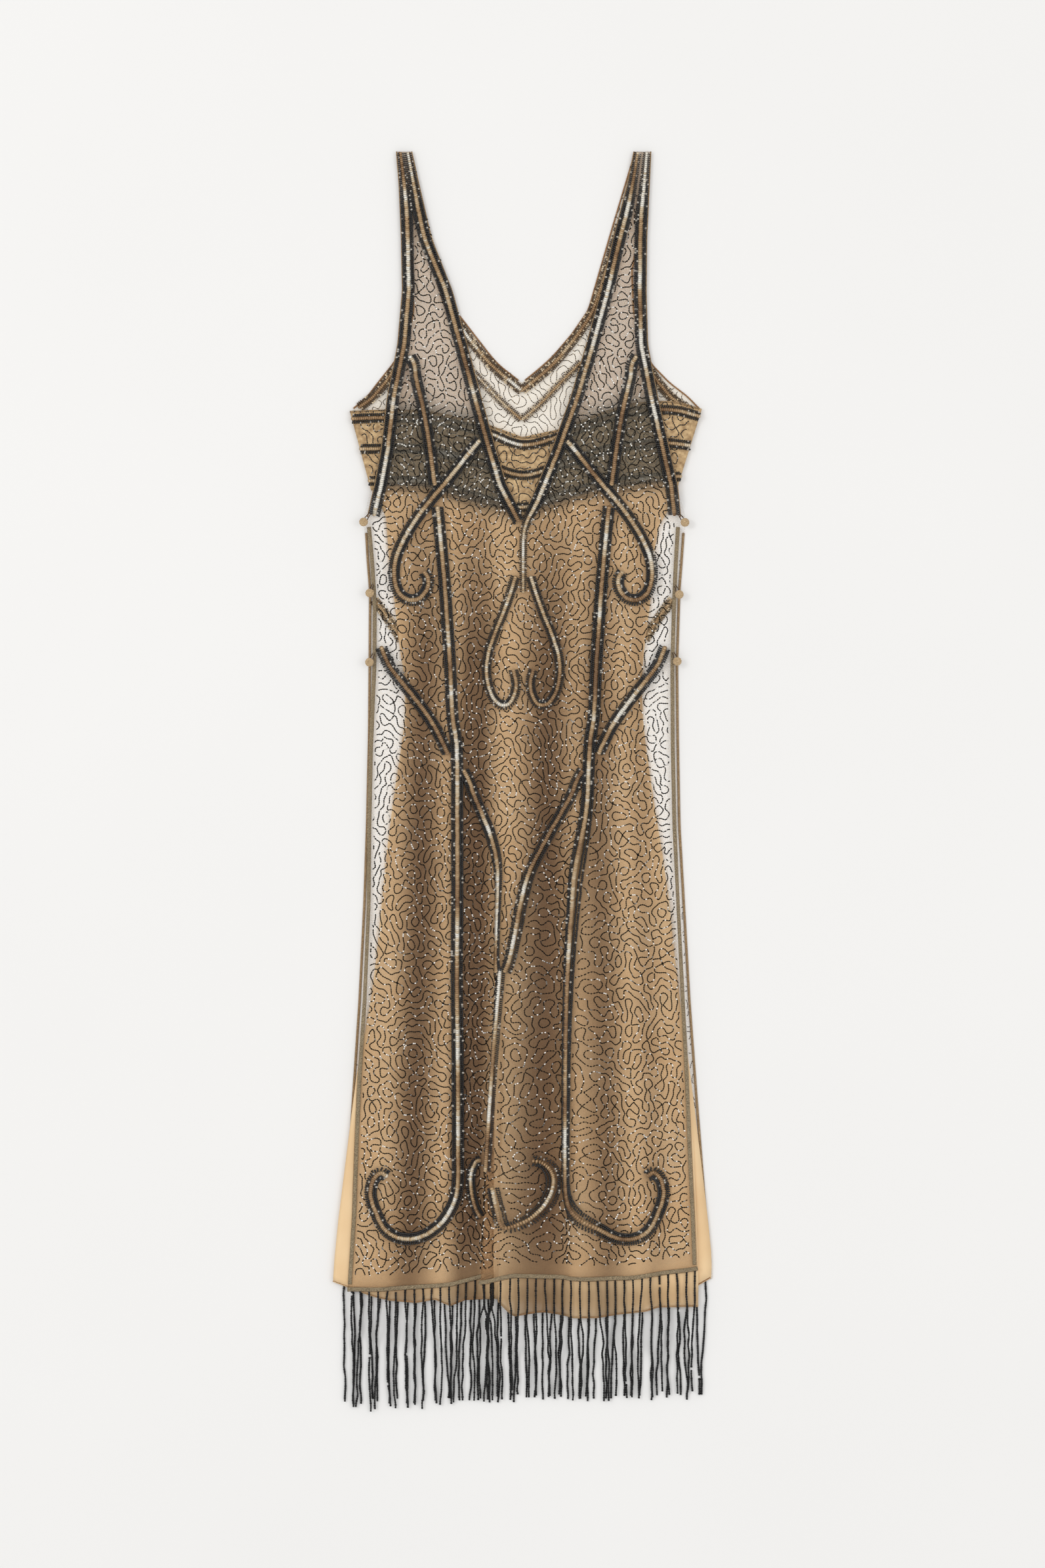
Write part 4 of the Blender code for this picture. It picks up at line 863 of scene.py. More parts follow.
def spread_stops(ramp, count):
    """A colour ramp's stops, made as many as asked for."""
    for number in range(count - 2):
        ramp.elements.new((number + 1) / (count - 1))
    return ramp.elements


def finish(name, fixed, paint):
    """A material: its fixed shader values, and what a paint function gives for the others."""
    made = bpy.data.materials.new(name)
    made.use_nodes = True
    shader = made.node_tree.nodes["Principled BSDF"]
    for word, value in fixed.items():
        shader.inputs[word].default_value = value
    for word, wire in paint(Wire(made.node_tree)).items():
        made.node_tree.links.new(wire.socket, shader.inputs[word])
    return made


def linear(red, green, blue):
    """A colour given as the photograph's 0 to 255 values, as light."""
    return tuple(((value / 255.0 + 0.055) / 1.055) ** 2.4 for value in (red, green, blue))


def net_paint(dark, light, sheer, filled):
    """Glitter net: pale and dark specks. Painted light and shade: pale where nothing lies under it, and
    denser and darker where cloth lies under it, partly as the shade that it casts on that cloth; painted
    shade in its valleys; dark grey-green and denser over the bandeau.
    """

    def paint(wire):
        speck = wire.noise(0.9, 1.0).clear(0.38, 0.62)
        drift = wire.noise(24.0, 3.0).clear(0.3, 0.7)
        under = wire.amount("under")
        valley = wire.amount("valley")
        veil = wire.amount("veil")
        cloth = (speck * 0.7 + drift * 0.3).mix(dark, light)
        # Painted shade: a deep brown in the valleys between the folds.
        shaded = (valley * 0.9).mix(cloth, linear(80, 54, 30))
        # Over the bandeau the net turns dark grey-green, with a denser cover.
        greyed = veil.mix(shaded, (speck * 0.8 + 0.1).mix(linear(38, 34, 28), linear(112, 104, 88)))
        # Painted light and shade: pale where nothing lies under the net; where cloth lies under it, the net
        # keeps its darker colour and a denser cover, partly as the shade that it casts on that cloth.
        bare = under.clear(0.0, 0.7).mix(linear(236, 204, 156), greyed)
        cover = under * (filled - sheer) + sheer + valley * 0.12 + veil * 0.24
        return {
            "Base Color": bare,
            "Alpha": cover + (speck - 0.5) * 0.09,
            "Roughness": 0.75 - speck * 0.35,
            "Normal": wire.bump(speck, 0.25),
        }

    return paint


def slip_paint(wire):
    """Crepe: a warm beige, a little uneven, with painted shade in the valleys between the folds, with a fine
    grain.
    """
    drift = wire.noise(60.0, 2.0).clear(0.3, 0.7)
    grain = wire.noise(0.7, 2.0)
    valley = wire.amount("valley")
    beige = drift.mix(linear(234, 197, 148), linear(244, 212, 166))
    # Painted shade: a dark brown in the valleys between the folds.
    return {
        "Base Color": (valley * 0.9).mix(beige, linear(116, 80, 46)),
        "Roughness": grain * 0.25 + 0.6,
        "Alpha": 1.0 - wire.amount("sheer") * 0.45,
        "Normal": wire.bump(grain, 0.12),
    }


def bandeau_paint(wire):
    """Beige net lined with cloth, drawn into fine crinkles, with painted shade in their low places."""
    crinkle = wire.noise(5.0, 3.0)
    grain = wire.noise(0.8, 1.0)
    # Painted shade: the colour follows the crinkles' bump, darker where they sink.
    tone = crinkle.clear(0.3, 0.75)
    return {
        "Base Color": tone.mix(linear(148, 116, 78), linear(222, 190, 142)),
        "Roughness": grain * 0.3 + 0.55,
        "Normal": wire.bump(crinkle * 0.8 + grain * 0.2, 0.9),
    }


def bead_paint(dark, light, share):
    """Glass or metal beads: most dark, and a share of them light. On the black beads the light ones are
    painted glints; on the gunmetal ones they are partly silver beads and partly painted glints.
    """

    def paint(wire):
        tone = wire.amount("tone").clear(1.0 - share, 1.0 - 0.45 * share)
        return {"Base Color": tone.mix(dark, light)}

    return paint


def sequin_paint(wire):
    """Sequins in patches: copper brown, gold, tan, cream and near white, a little scratched; the cream and
    near-white patches are partly painted highlights.
    """
    ramp = wire.node(
        "ShaderNodeValToRGB",
        {
            "stops": (
                (0.0, linear(134, 100, 68)),
                (0.30, linear(176, 140, 100)),
                (0.55, linear(204, 172, 130)),
                # Partly painted highlights: the cream and near-white stops.
                (0.72, linear(232, 212, 180)),
                (0.88, linear(255, 250, 238)),
            )
        },
        {0: wire.amount("tone")},
    )
    scratch = wire.noise(1.1, 2.0)
    return {"Base Color": ramp, "Roughness": scratch * 0.3 + 0.2, "Normal": wire.bump(scratch, 0.05)}


def binding_paint(dark, light):
    """Folded glitter net: specks along a fine weave."""

    def paint(wire):
        speck = wire.noise(0.8, 2.0).clear(0.35, 0.65)
        drift = wire.noise(14.0, 2.0)
        return {
            "Base Color": (speck * 0.75 + drift * 0.25).mix(dark, light),
            "Roughness": 0.8 - speck * 0.4,
            "Normal": wire.bump(speck, 0.35),
        }

    return paint


def thread_paint(colour, shade):
    """Twisted thread: its colour and a darker painted shade, mixed by a fine noise that also raises the bump,
    so it is darker where the twist sinks.
    """

    def paint(wire):
        twist = wire.noise(0.6, 1.0)
        # Painted shade: the thread is darker where the twist sinks.
        return {
            "Base Color": twist.clear(0.35, 0.65).mix(shade, colour),
            "Roughness": twist * 0.2 + 0.6,
            "Normal": wire.bump(twist, 0.2),
        }

    return paint


def floor_paint(wire):
    """Matt white paper, almost even."""
    return {"Base Color": wire.noise(400.0, 2.0).mix((0.90, 0.895, 0.885), (0.93, 0.925, 0.915))}


MATERIALS = {
    "front net": finish(
        "front_net", {"Metallic": 0.15}, net_paint(linear(104, 70, 40), linear(194, 150, 102), 0.045, 0.34)
    ),
    "back net": finish(
        "back_net", {"Metallic": 0.1}, net_paint(linear(240, 208, 156), linear(255, 242, 210), 0.05, 0.2)
    ),
    "slip": finish("slip_crepe", {"Sheen Weight": 0.15}, slip_paint),
    "bandeau": finish("bandeau_cloth", {"Sheen Weight": 0.1}, bandeau_paint),
    # Black glass beads: the light share is painted glints.
    "black beads": finish(
        "black_glass_beads",
        {"Roughness": 0.18, "Specular IOR Level": 0.6},
        bead_paint((0.006, 0.005, 0.005), (0.45, 0.42, 0.37), 0.10),
    ),
    "fringe beads": finish(
        "black_bugle_beads",
        {"Roughness": 0.3, "Specular IOR Level": 0.3},
        bead_paint((0.004, 0.004, 0.0045), (0.018, 0.018, 0.018), 0.2),
    ),
    # Gunmetal bugles: the light share is partly silver beads and partly painted glints.
    "gunmetal beads": finish(
        "gunmetal_bugles",
        {"Roughness": 0.2, "Metallic": 0.75},
        bead_paint((0.012, 0.010, 0.007), (1.0, 0.98, 0.93), 0.18),
    ),
    "bronze beads": finish(
        "bronze_beads",
        {"Roughness": 0.25, "Metallic": 0.5},
        bead_paint((0.10, 0.060, 0.030), (0.75, 0.60, 0.40), 0.35),
    ),
    "brown beads": finish(
        "brown_bugles",
        {"Roughness": 0.3, "Metallic": 0.3},
        bead_paint((0.07, 0.045, 0.025), (0.42, 0.32, 0.21), 0.2),
    ),
    "sequins": finish("gold_sequins", {"Metallic": 0.45, "Coat Weight": 0.3}, sequin_paint),
    "binding": finish(
        "glitter_binding", {"Metallic": 0.2}, binding_paint(linear(88, 74, 54), linear(186, 166, 132))
    ),
    "tan binding": finish("tan_binding", {}, binding_paint(linear(110, 84, 54), linear(190, 158, 116))),
    "brown hem": finish("brown_hem", {}, thread_paint(linear(168, 126, 84), linear(120, 84, 52))),
    "button cloth": finish(
        "button_cloth", {"Sheen Weight": 0.2}, thread_paint(linear(206, 178, 138), linear(150, 124, 88))
    ),
    "loop thread": finish("loop_thread", {}, thread_paint(linear(96, 70, 48), linear(40, 28, 20))),
    "floor": finish("white_floor", {"Roughness": 0.9}, floor_paint),
}


# Painted shade in the valleys between the folds, where the cloth lies in shade: fraction across, depth, half
# width
VALLEY_SHADES = (
    (0.175, 0.95, 34.0), (0.345, 1.2, 32.0), (0.580, 1.0, 42.0), (0.745, 0.75, 30.0), (0.885, 0.3, 20.0),
)
VALLEY_SHADE_RISE = ((370, 0.2), (440, 0.55), (520, 0.9), (700, 1.0), (1130, 1.0), (1188, 0.75))
VALLEY_SHADE_FADE = 12.0


def valley(across, drop):
    """Painted shade in the valleys: sum of their mounds, held to 1, deeper with the drop and fading at the
    right edge.
    """
    fade = ease((between(FRONT_CUT, drop, 4) - across) / VALLEY_SHADE_FADE)
    return np.clip(mounds(across, drop, VALLEY_SHADES), 0.0, 1.0) * between(VALLEY_SHADE_RISE, drop) * fade


def inside_skirt(across, drop, edge=3.0):
    """1 over the slip's skirt and 0 beside it, with a soft edge."""
    left = ease(share_of(across - between(SKIRT_CUT, drop, 1), (-edge / 2, edge / 2)))
    right = ease(share_of(between(SKIRT_CUT, drop, 2) - across, (-edge / 2, edge / 2)))
    return left * right * ease(share_of(drop, (346.0, 352.0)))


def over_bust(across, drop):
    """1 where the net hangs over the bandeau, with soft upper and lower edges."""
    top = between(BODICE_TOP, across)
    lower = between(BODICE_LOWER, across)
    return ease(share_of(drop - top, (-22.0, 6.0))) * (1.0 - ease(share_of(drop - lower, (-12.0, 14.0))))


def cut_area(table, hem):
    """Area of a cut in square metres: its width, less the V, summed over the drop, and the hem."""
    drops = np.linspace(0.0, table[-1][0], 600)
    left, neck_left, neck_right, right = edges(table, drops)
    width = (neck_left - left) + (right - neck_right)
    below = np.mean([drop for share, drop in hem]) - table[-1][0]
    return (width.mean() * table[-1][0] + width[-1] * below) * MM * MM


def laid_width(surface, left, right, drop):
    """Length in metres of the line across a surface, over its folds, at one drop."""
    across = np.linspace(left, right, 400)
    return float(np.linalg.norm(np.diff(surface(across, np.full(400, drop), 0.0), axis=0), axis=1).sum())


# Rows above and below the point of the V and columns of each half of a net; rows and columns of the rest
FRONT_GRID = (66, 132, 46)
BACK_GRID = (60, 90, 26)
BANDEAU_GRID = (26, 140)
SKIRT_BACK_GRID = (60, 40)
SKIRT_FRONT_GRID = (130, 110)

# Heights in millimetres of a cloth's lower and upper face above the surface that it follows
FRONT_NET_LIFTS = (0.75, 1.1)
BACK_NET_LIFTS = (0.1, 0.5)
BANDEAU_BACK_LIFTS = (1.6, 2.4)
BANDEAU_FRONT_LIFTS = (0.1, 0.9)
SKIRT_BACK_LIFTS = (1.6, 2.3)
SKIRT_FRONT_LIFTS = (0.1, 0.9)

# How much the front net is filled above the skirt, down to which drop, and the drops over which the back
# net stops looking doubled
STRAP_COVER = 0.95
STRAP_DROP = 352
DOUBLED_DROPS = (300.0, 360.0)

# The skirt's seam, and the drops of its sheer hem
SKIRT_SEAM = 0.5
SHEER_DROPS = (1180.0, 1202.0)


def net_front():
    """The beaded net front: a thin wall where its solid's upper face lies."""
    cut, quads = panel_cut(FRONT_CUT, FRONT_V_DROP, FRONT_HEM, *FRONT_GRID)
    across, drop = cut.T
    bust = over_bust(across, drop)
    on_slip = inside_skirt(across, drop)
    # Painted light and shade: the net is pale where nothing lies under it, and denser and darker over the
    # slip and the back net's straps.
    under = np.maximum(on_slip, STRAP_COVER * (drop < STRAP_DROP))
    # Painted shade in the fold valleys, over the slip only.
    piece = cloth_piece(
        "net_front", over_front, cut, quads, FRONT_NET_LIFTS, MATERIALS["front net"],
        under=under, valley=valley(across, drop) * on_slip, veil=bust,
    )
    let_light_through(piece)
    stand_for(piece, "panel_front")
    left, right = FRONT_CUT[-1][1], FRONT_CUT[-1][4]
    width = laid_width(over_front, left, right, 1180.0)
    area = cut_area(FRONT_CUT, FRONT_HEM) * width / ((right - left) * MM)


def net_back():
    """The beaded net back, flat on the surface."""
    cut, quads = panel_cut(BACK_CUT, BACK_V_DROP, BACK_HEM, *BACK_GRID)
    nothing = np.zeros(len(cut))
    doubled = 1.0 - ease(share_of(cut[:, 1], DOUBLED_DROPS))
    piece = cloth_piece(
        "net_back", over_back, cut, quads, BACK_NET_LIFTS, MATERIALS["back net"],
        under=doubled, valley=nothing, veil=nothing,
    )
    let_light_through(piece)
    stand_for(piece, "panel_back")


def bandeau(name, node, surface, lifts):
    """One layer of the bandeau: a grid between its top and lower edges."""
    knots = np.linspace(0, len(BODICE_TOP) - 1, BANDEAU_GRID[1])
    numbers = np.arange(len(BODICE_TOP))
    top = np.stack([np.interp(knots, numbers, column) for column in np.transpose(BODICE_TOP)], axis=-1)
    lower = np.stack([np.interp(knots, numbers, column) for column in np.transpose(BODICE_LOWER)], axis=-1)
    levels = np.linspace(0.0, 1.0, BANDEAU_GRID[0])[:, None, None]
    cut = (top + levels * (lower - top)).reshape(-1, 2)
    quads = grid_faces(np.arange(len(cut)).reshape(BANDEAU_GRID))
    piece = cloth_piece(name, surface, cut, quads, lifts, MATERIALS["bandeau"])
    stand_for(piece, node)


def skirt_grid(column, hem, rows, columns):
    """Points and quads of one skirt layer, from the bandeau's lower edge to its hem."""
    share = np.linspace(0.0, 1.0, columns)
    place = np.linspace(0.0, 1.0, rows)[:, None]
    first, last = SKIRT_CUT[0], SKIRT_CUT[-1]
    top = between(BODICE_LOWER, first[1] + share * (first[column] - first[1])) + SKIRT_SEAM
    full = share * (last[column] - last[1]) / (last[3] - last[1])
    drop = top + place * (between(hem, full) - top)
    left = between(SKIRT_CUT, drop, 1)
    right = between(SKIRT_CUT, drop, column)
    cut = np.stack([left + share * (right - left), drop], axis=-1).reshape(-1, 2)
    return cut, grid_faces(np.arange(rows * columns).reshape(rows, columns))


def skirts():
    """The slip's skirt: its back flat on the back net, and its front with half the net's folds."""
    for side, surface, lifts, hem, column, grid in (
        ("back", over_back, SKIRT_BACK_LIFTS, SKIRT_BACK_HEM, 3, SKIRT_BACK_GRID),
        ("front", over_skirt, SKIRT_FRONT_LIFTS, SKIRT_FRONT_HEM, 2, SKIRT_FRONT_GRID),
    ):
        cut, quads = skirt_grid(column, hem, *grid)
        across, drop = cut.T
        # Painted shade in the fold valleys on both layers of the skirt.
        piece = cloth_piece(
            f"slip_skirt_{side}", surface, cut, quads, lifts, MATERIALS["slip"],
            valley=valley(across, drop), sheer=ease(share_of(drop, SHEER_DROPS)),
        )
        stand_for(piece, f"skirt_{side}")


STRIP_SIDES = 8
STRIP_PITCH = 3.0


def swept(name, surface, route, half_wide, half_high, lift, finish_name, slot="binding"):
    """A rounded strip along a route on a surface: an ellipse for each step, closed at both ends."""
    sides = STRIP_SIDES
    steps, heading = paced(route, STRIP_PITCH, 0.0)
    centre, _, aside, upright = frames_on(surface, steps[:, 0], steps[:, 1], lift, heading)
    angles = 2.0 * np.pi * np.arange(sides)[:, None] / sides
    ring = half_wide * np.cos(angles) * aside[:, None] + half_high * np.sin(angles) * upright[:, None]
    points = np.concatenate([(centre[:, None] + MM * ring).reshape(-1, 3), centre[:1], centre[-1:]])
    index = np.arange(len(steps) * sides).reshape(-1, sides)
    a, b = index[:-1], index[1:]
    c, d = np.roll(b, -1, axis=1), np.roll(a, -1, axis=1)
    walls = [np.stack([a, d, b], axis=-1).reshape(-1, 3), np.stack([b, d, c], axis=-1).reshape(-1, 3)]
    count = len(points)
    step = np.arange(sides)
    after = (step + 1) % sides
    near = np.stack([after, step, np.full(sides, count - 2)], axis=-1)
    far = np.stack([index[-1][step], index[-1][after], np.full(sides, count - 1)], axis=-1)
    piece = make_piece(name, points, np.concatenate(walls + [near, far]), [MATERIALS[finish_name]])
    return piece


def edge_route(table, column, inward, drops, inset):
    """A route that keeps its inset to an edge of a panel: (across, drop, width)."""
    drops = np.asarray(drops, float)
    slope = (between(table, drops + 4, column) - between(table, drops - 4, column)) / 8.0
    across = between(table, drops, column) + inward * inset * np.hypot(1.0, slope)
    return np.stack([across, drops, np.full(len(drops), 2.0 * BINDING_WIDTH)], axis=-1)


def trim_route(column, inward, drops):
    """A neck or armhole band: as wide as the strap has room for, inside the edge by its margin."""
    drops = np.asarray(drops, float)
    room = between(FRONT_CUT, drops, 2) - between(FRONT_CUT, drops, 1)
    width = np.minimum(TRIM_WIDTH, (room - 2.0 * TRIM_MARGIN - TRIM_PARTING) / 2.0)
    route = edge_route(FRONT_CUT, column, inward, drops, TRIM_MARGIN + width / 2.0)
    route[:, 2] = width
    return route


def mirrored(route, side, width, centre=ORNAMENT_CENTRE):
    """A route of (distance from the mirror line, drop) on one side, with its width."""
    away, drop = np.array(route, float).T
    across = between(centre, drop) + side * away
    return smooth_route(np.stack([across, drop, np.full(len(drop), width)], axis=-1))


def both_sides(lines, centre):
    """Node names and routes of lines that come in mirrored pairs."""
    return {
        f"{name}_{suffix}": mirrored(route, side, width, centre)
        for suffix, side in (("left", -1), ("right", 1))
        for name, route, width in lines
    }


# Drops at which the neck and armhole bands are laid out
BAND_DROPS = (1, 20, 40, 62, 91, 118, 146, 174, 202, 215, 236, 258, 286, 300, 314, 332, 350)


def front_routes():
    """Every band on the front net: node name and route."""
    tail = np.array(TAIL_ROUTE) * (1.0, 1.0, 2.0)
    left_end = np.array([LEFT_NECK_END]) * (1.0, 1.0, 2.0)
    routes = {
        "neck_trim_left": np.concatenate([trim_route(2, -1, BAND_DROPS + (362,)), left_end]),
        "neck_trim_right": np.concatenate([trim_route(3, 1, BAND_DROPS), tail]),
        "armhole_trim_left": trim_route(1, 1, BAND_DROPS + (358, 366, 374, 382)),
        "armhole_trim_right": trim_route(4, -1, BAND_DROPS + (358, 366, 374, 382)),
    }
    routes = {name: smooth_route(route) for name, route in routes.items()}
    routes.update(both_sides(ORNAMENTS, ORNAMENT_CENTRE))
    routes["centre_stem"] = mirrored(CENTRE_STEM, 1, STEM_WIDTH)
    routes["hem_scroll_left"] = mirrored(HEM_SCROLL_LEFT, -1, SCROLL_WIDTH)
    routes["hem_scroll_right"] = mirrored(HEM_SCROLL_RIGHT, 1, SCROLL_WIDTH)
    return routes


def bandeau_routes():
    """The three bands across the bandeau."""
    routes = {}
    for number, (level, width) in enumerate(BODICE_BANDS, start=1):
        spots = np.array(BODICE_TOP) + level * (np.array(BODICE_LOWER) - np.array(BODICE_TOP))
        routes[f"bodice_band_{number}"] = smooth_route(np.column_stack([spots, np.full(len(spots), width)]))
    return routes


def all_bands(front, back, bust):
    """The beads and sequins of every band, each over its own node."""
    for seed, (routes, surface, lift, beads) in enumerate(
        (
            (front, over_front, 1.35, "black beads"),
            (back, over_back, 1.0, "bronze beads"),
            (bust, over_bandeau, 1.1, "black beads"),
        )
    ):
        chance = np.random.default_rng(40 + seed)
        for node, route in routes.items():
            piece = beaded_band(f"beads_{node}", surface, route, lift, chance, beads)
            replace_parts(piece, node)
    chance = np.random.default_rng(50)
    for name, line in both_sides([("back_hip_beads", BACK_HIP, HIP_WIDTH)], ((0, 0.0),)).items():
        beaded_band(name, over_back, line, 0.6, chance, "bronze beads")


# Wandering lines of bugle beads: spacing between lines, length of a piece of line, the beads' length,
# width and height, the size of the field, and the drop at which the front's lines are split in two pieces
LINE_SPACING = 5.8
LINE_CELL = 2.0
BUGLE_SIZE = (2.0, 2.3, 1.6)
THIN_BUGLE_SIZE = (2.0, 1.5, 1.0)
FLAT_BUGLE_SIZE = (2.0, 2.1, 1.3)
FIELD = (400.0, 1200.0)
FIELD_SPLIT = (600.0,)
HEM_CLEAR = 17.0
EDGE_CLEAR = 7.0


def wandering_beads(front, back, bust):
    """The lines of bugle beads over the front net, what shows of the back net, and the bandeau."""

    def lines(seed):
        """Pieces of line in the cut, with the field centred across."""
        return wandering_lines(seed, *FIELD, LINE_SPACING, LINE_CELL) - (FIELD[0] / 2.0, 0.0)

    def in_panel(table, across, drop, clear):
        """Whether a point lies on a panel, clear of its edges."""
        left, neck_left, neck_right, right = edges(table, drop)
        on_cloth = (across < neck_left) | (across > neck_right) | (neck_right - neck_left < 0.1)
        return on_cloth & (across > left + clear) & (across < right - clear)

    def on_front(across, drop):
        share = share_of(across, edges(FRONT_CUT, drop)[::3])
        above_hem = drop < between(FRONT_HEM, share) - HEM_CLEAR
        on_net = in_panel(FRONT_CUT, across, drop, EDGE_CLEAR) & above_hem
        return on_net & ~near_routes(across, drop, front, 0.6)

    def on_back(across, drop):
        shown = ~in_panel(FRONT_CUT, across, drop, -1.0) & (inside_skirt(across, drop, 24.0) < 0.5)
        clear = in_panel(BACK_CUT, across, drop, 3.0) & (drop < 1165)
        return clear & shown & ~near_routes(across, drop, back, 0.6)

    def on_bandeau(across, drop):
        inside = (drop > between(BODICE_TOP, across)) & (drop < between(BODICE_LOWER, across) - 2.0)
        side = np.abs(across) < 178.0 - 0.28 * (drop - 272.0)
        return inside & side & ~near_routes(across, drop, bust, 0.4)

    # Over the bandeau the front's beads get painted glints: more of them are bright there.
    vermicelli(
        ("vermicelli_upper", "vermicelli_lower"), over_front, lines(5), on_front, 1.5, BUGLE_SIZE,
        MATERIALS["gunmetal beads"], 6, FIELD_SPLIT, over_bust,
    )
    vermicelli(
        ("vermicelli_back",), over_back, lines(8), on_back, 0.85, THIN_BUGLE_SIZE, MATERIALS["brown beads"], 9
    )
    vermicelli(
        ("vermicelli_bandeau",), over_bandeau, lines(12), on_bandeau, 1.35, FLAT_BUGLE_SIZE,
        MATERIALS["black beads"], 13,
    )


# Strips along the edges: half width, half height, lift and finish
NET_BINDING = (2.1, 0.75, 1.55, "binding")
NET_HEM_BINDING = (2.2, 0.8, 1.55, "binding")
BACK_BINDING = (1.3, 0.6, 0.65, "tan binding")
BACK_HEM_BINDING = (1.6, 0.6, 0.65, "tan binding")
EDGE_CORD = (0.75, 0.6, 1.3, "tan binding")
BACK_CORD = (0.8, 0.5, 0.6, "brown hem")
PIPING = (0.9, 0.8, 0.9, "tan binding")
# Their insets from the edges, and the drops at which the back net's cords are laid out
BACK_INSET = 1.3
BACK_HEM_INSET = 1.5
CORD_INSET = 0.5
BACK_CORD_INSET = 0.6
SLIP_HEM_INSET = 1.2
BACK_NECK_DROPS = np.append(np.arange(0.0, 238.0, 6.0), 240.0)
BACK_ARMHOLE_DROPS = np.append(np.arange(0.0, 268.0, 5.0), 271.0)


def hem_route(hem, left, right, full, inset):
    """A route along a hem, above its edge by the inset; the hem's table runs on to the full width."""
    across = np.linspace(left, right, 90)
    drop = between(hem, share_of(across, (left, full))) - inset
    return np.stack([across, drop, np.ones(len(across))], axis=-1)


def edge_details():
    """Bindings, cords and rolled hems along the cloth's edges."""
    side_drops = np.concatenate([[SIDE_BINDING_TOP], np.arange(410.0, 1185.0, 12.0)])
    inset = TRIM_MARGIN + BINDING_WIDTH / 2.0
    for name, column, inward, corner in (
        ("side_binding_left", 1, 1, FRONT_HEM[0][1]), ("side_binding_right", 4, -1, FRONT_HEM[-1][1])
    ):
        drops = np.append(side_drops[side_drops < corner - 12.0], corner - 6.0)
        route = edge_route(FRONT_CUT, column, inward, drops, inset)
        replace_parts(swept(f"net_{name}", over_front, route, *NET_BINDING), name)
        route = edge_route(BACK_CUT, column, inward, np.arange(400.0, 1180.0, 12.0), BACK_INSET)
        swept(f"back_{name}", over_back, route, *BACK_BINDING)
    left, right = FRONT_CUT[-1][1], FRONT_CUT[-1][4]
    route = hem_route(FRONT_HEM, left, right, right, inset)
    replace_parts(swept("net_hem_binding", over_front, route, *NET_HEM_BINDING), "hem_binding")
    left, right = BACK_CUT[-1][1], BACK_CUT[-1][4]
    route = hem_route(BACK_HEM, left, right, right, BACK_HEM_INSET)
    swept("back_hem_binding", over_back, route, *BACK_HEM_BINDING)
    for suffix, outer, neck, inward in (("left", 1, 2, 1), ("right", 4, 3, -1)):
        for place, column, side, last in (("armhole", outer, inward, 386.0), ("neck", neck, -inward, 378.0)):
            route = edge_route(FRONT_CUT, column, side, np.arange(0.0, last, 6.0), CORD_INSET)
            swept(f"{place}_cord_{suffix}", over_front, route, *EDGE_CORD)
        for place, column, side, drops in (
            ("neck", neck, -inward, BACK_NECK_DROPS), ("armhole", outer, inward, BACK_ARMHOLE_DROPS)
        ):
            route = edge_route(BACK_CUT, column, side, drops, BACK_CORD_INSET)
            swept(f"back_{place}_cord_{suffix}", over_back, route, *BACK_CORD)
    top = np.column_stack([np.array(BODICE_TOP) + (0.0, 0.8), np.ones(len(BODICE_TOP))])
    swept("bandeau_piping", over_bandeau, smooth_route(top), *PIPING, "slip")
    last = SKIRT_CUT[-1]
    for name, surface, hem, column, lift in (
        ("slip_skirt_back_hem", over_back, SKIRT_BACK_HEM, 3, 1.95),
        ("slip_skirt_front_hem", over_skirt, SKIRT_FRONT_HEM, 2, 0.5),
    ):
        route = hem_route(hem, last[1], last[column], last[3], SLIP_HEM_INSET)
        swept(name, surface, route, 1.2, 0.45, lift, "brown hem", "slip")


# The fringe's beads, and how its strands wander: the spacing of the knots, the steps at them, the small
# shake of each, the length over which the wandering grows, the share of missing beads and their sizes
STRAND_PIECE = 2.5
STRAND_WIDTH = 2.3
KNOT = 11.0
KNOT_STEP = 0.75
KNOT_SHAKE = 0.35
WANDER_LENGTH = 60.0
MISSING = 0.004
STRAND_SIZES = (0.85, 1.15)
BACK_REST = 1.25


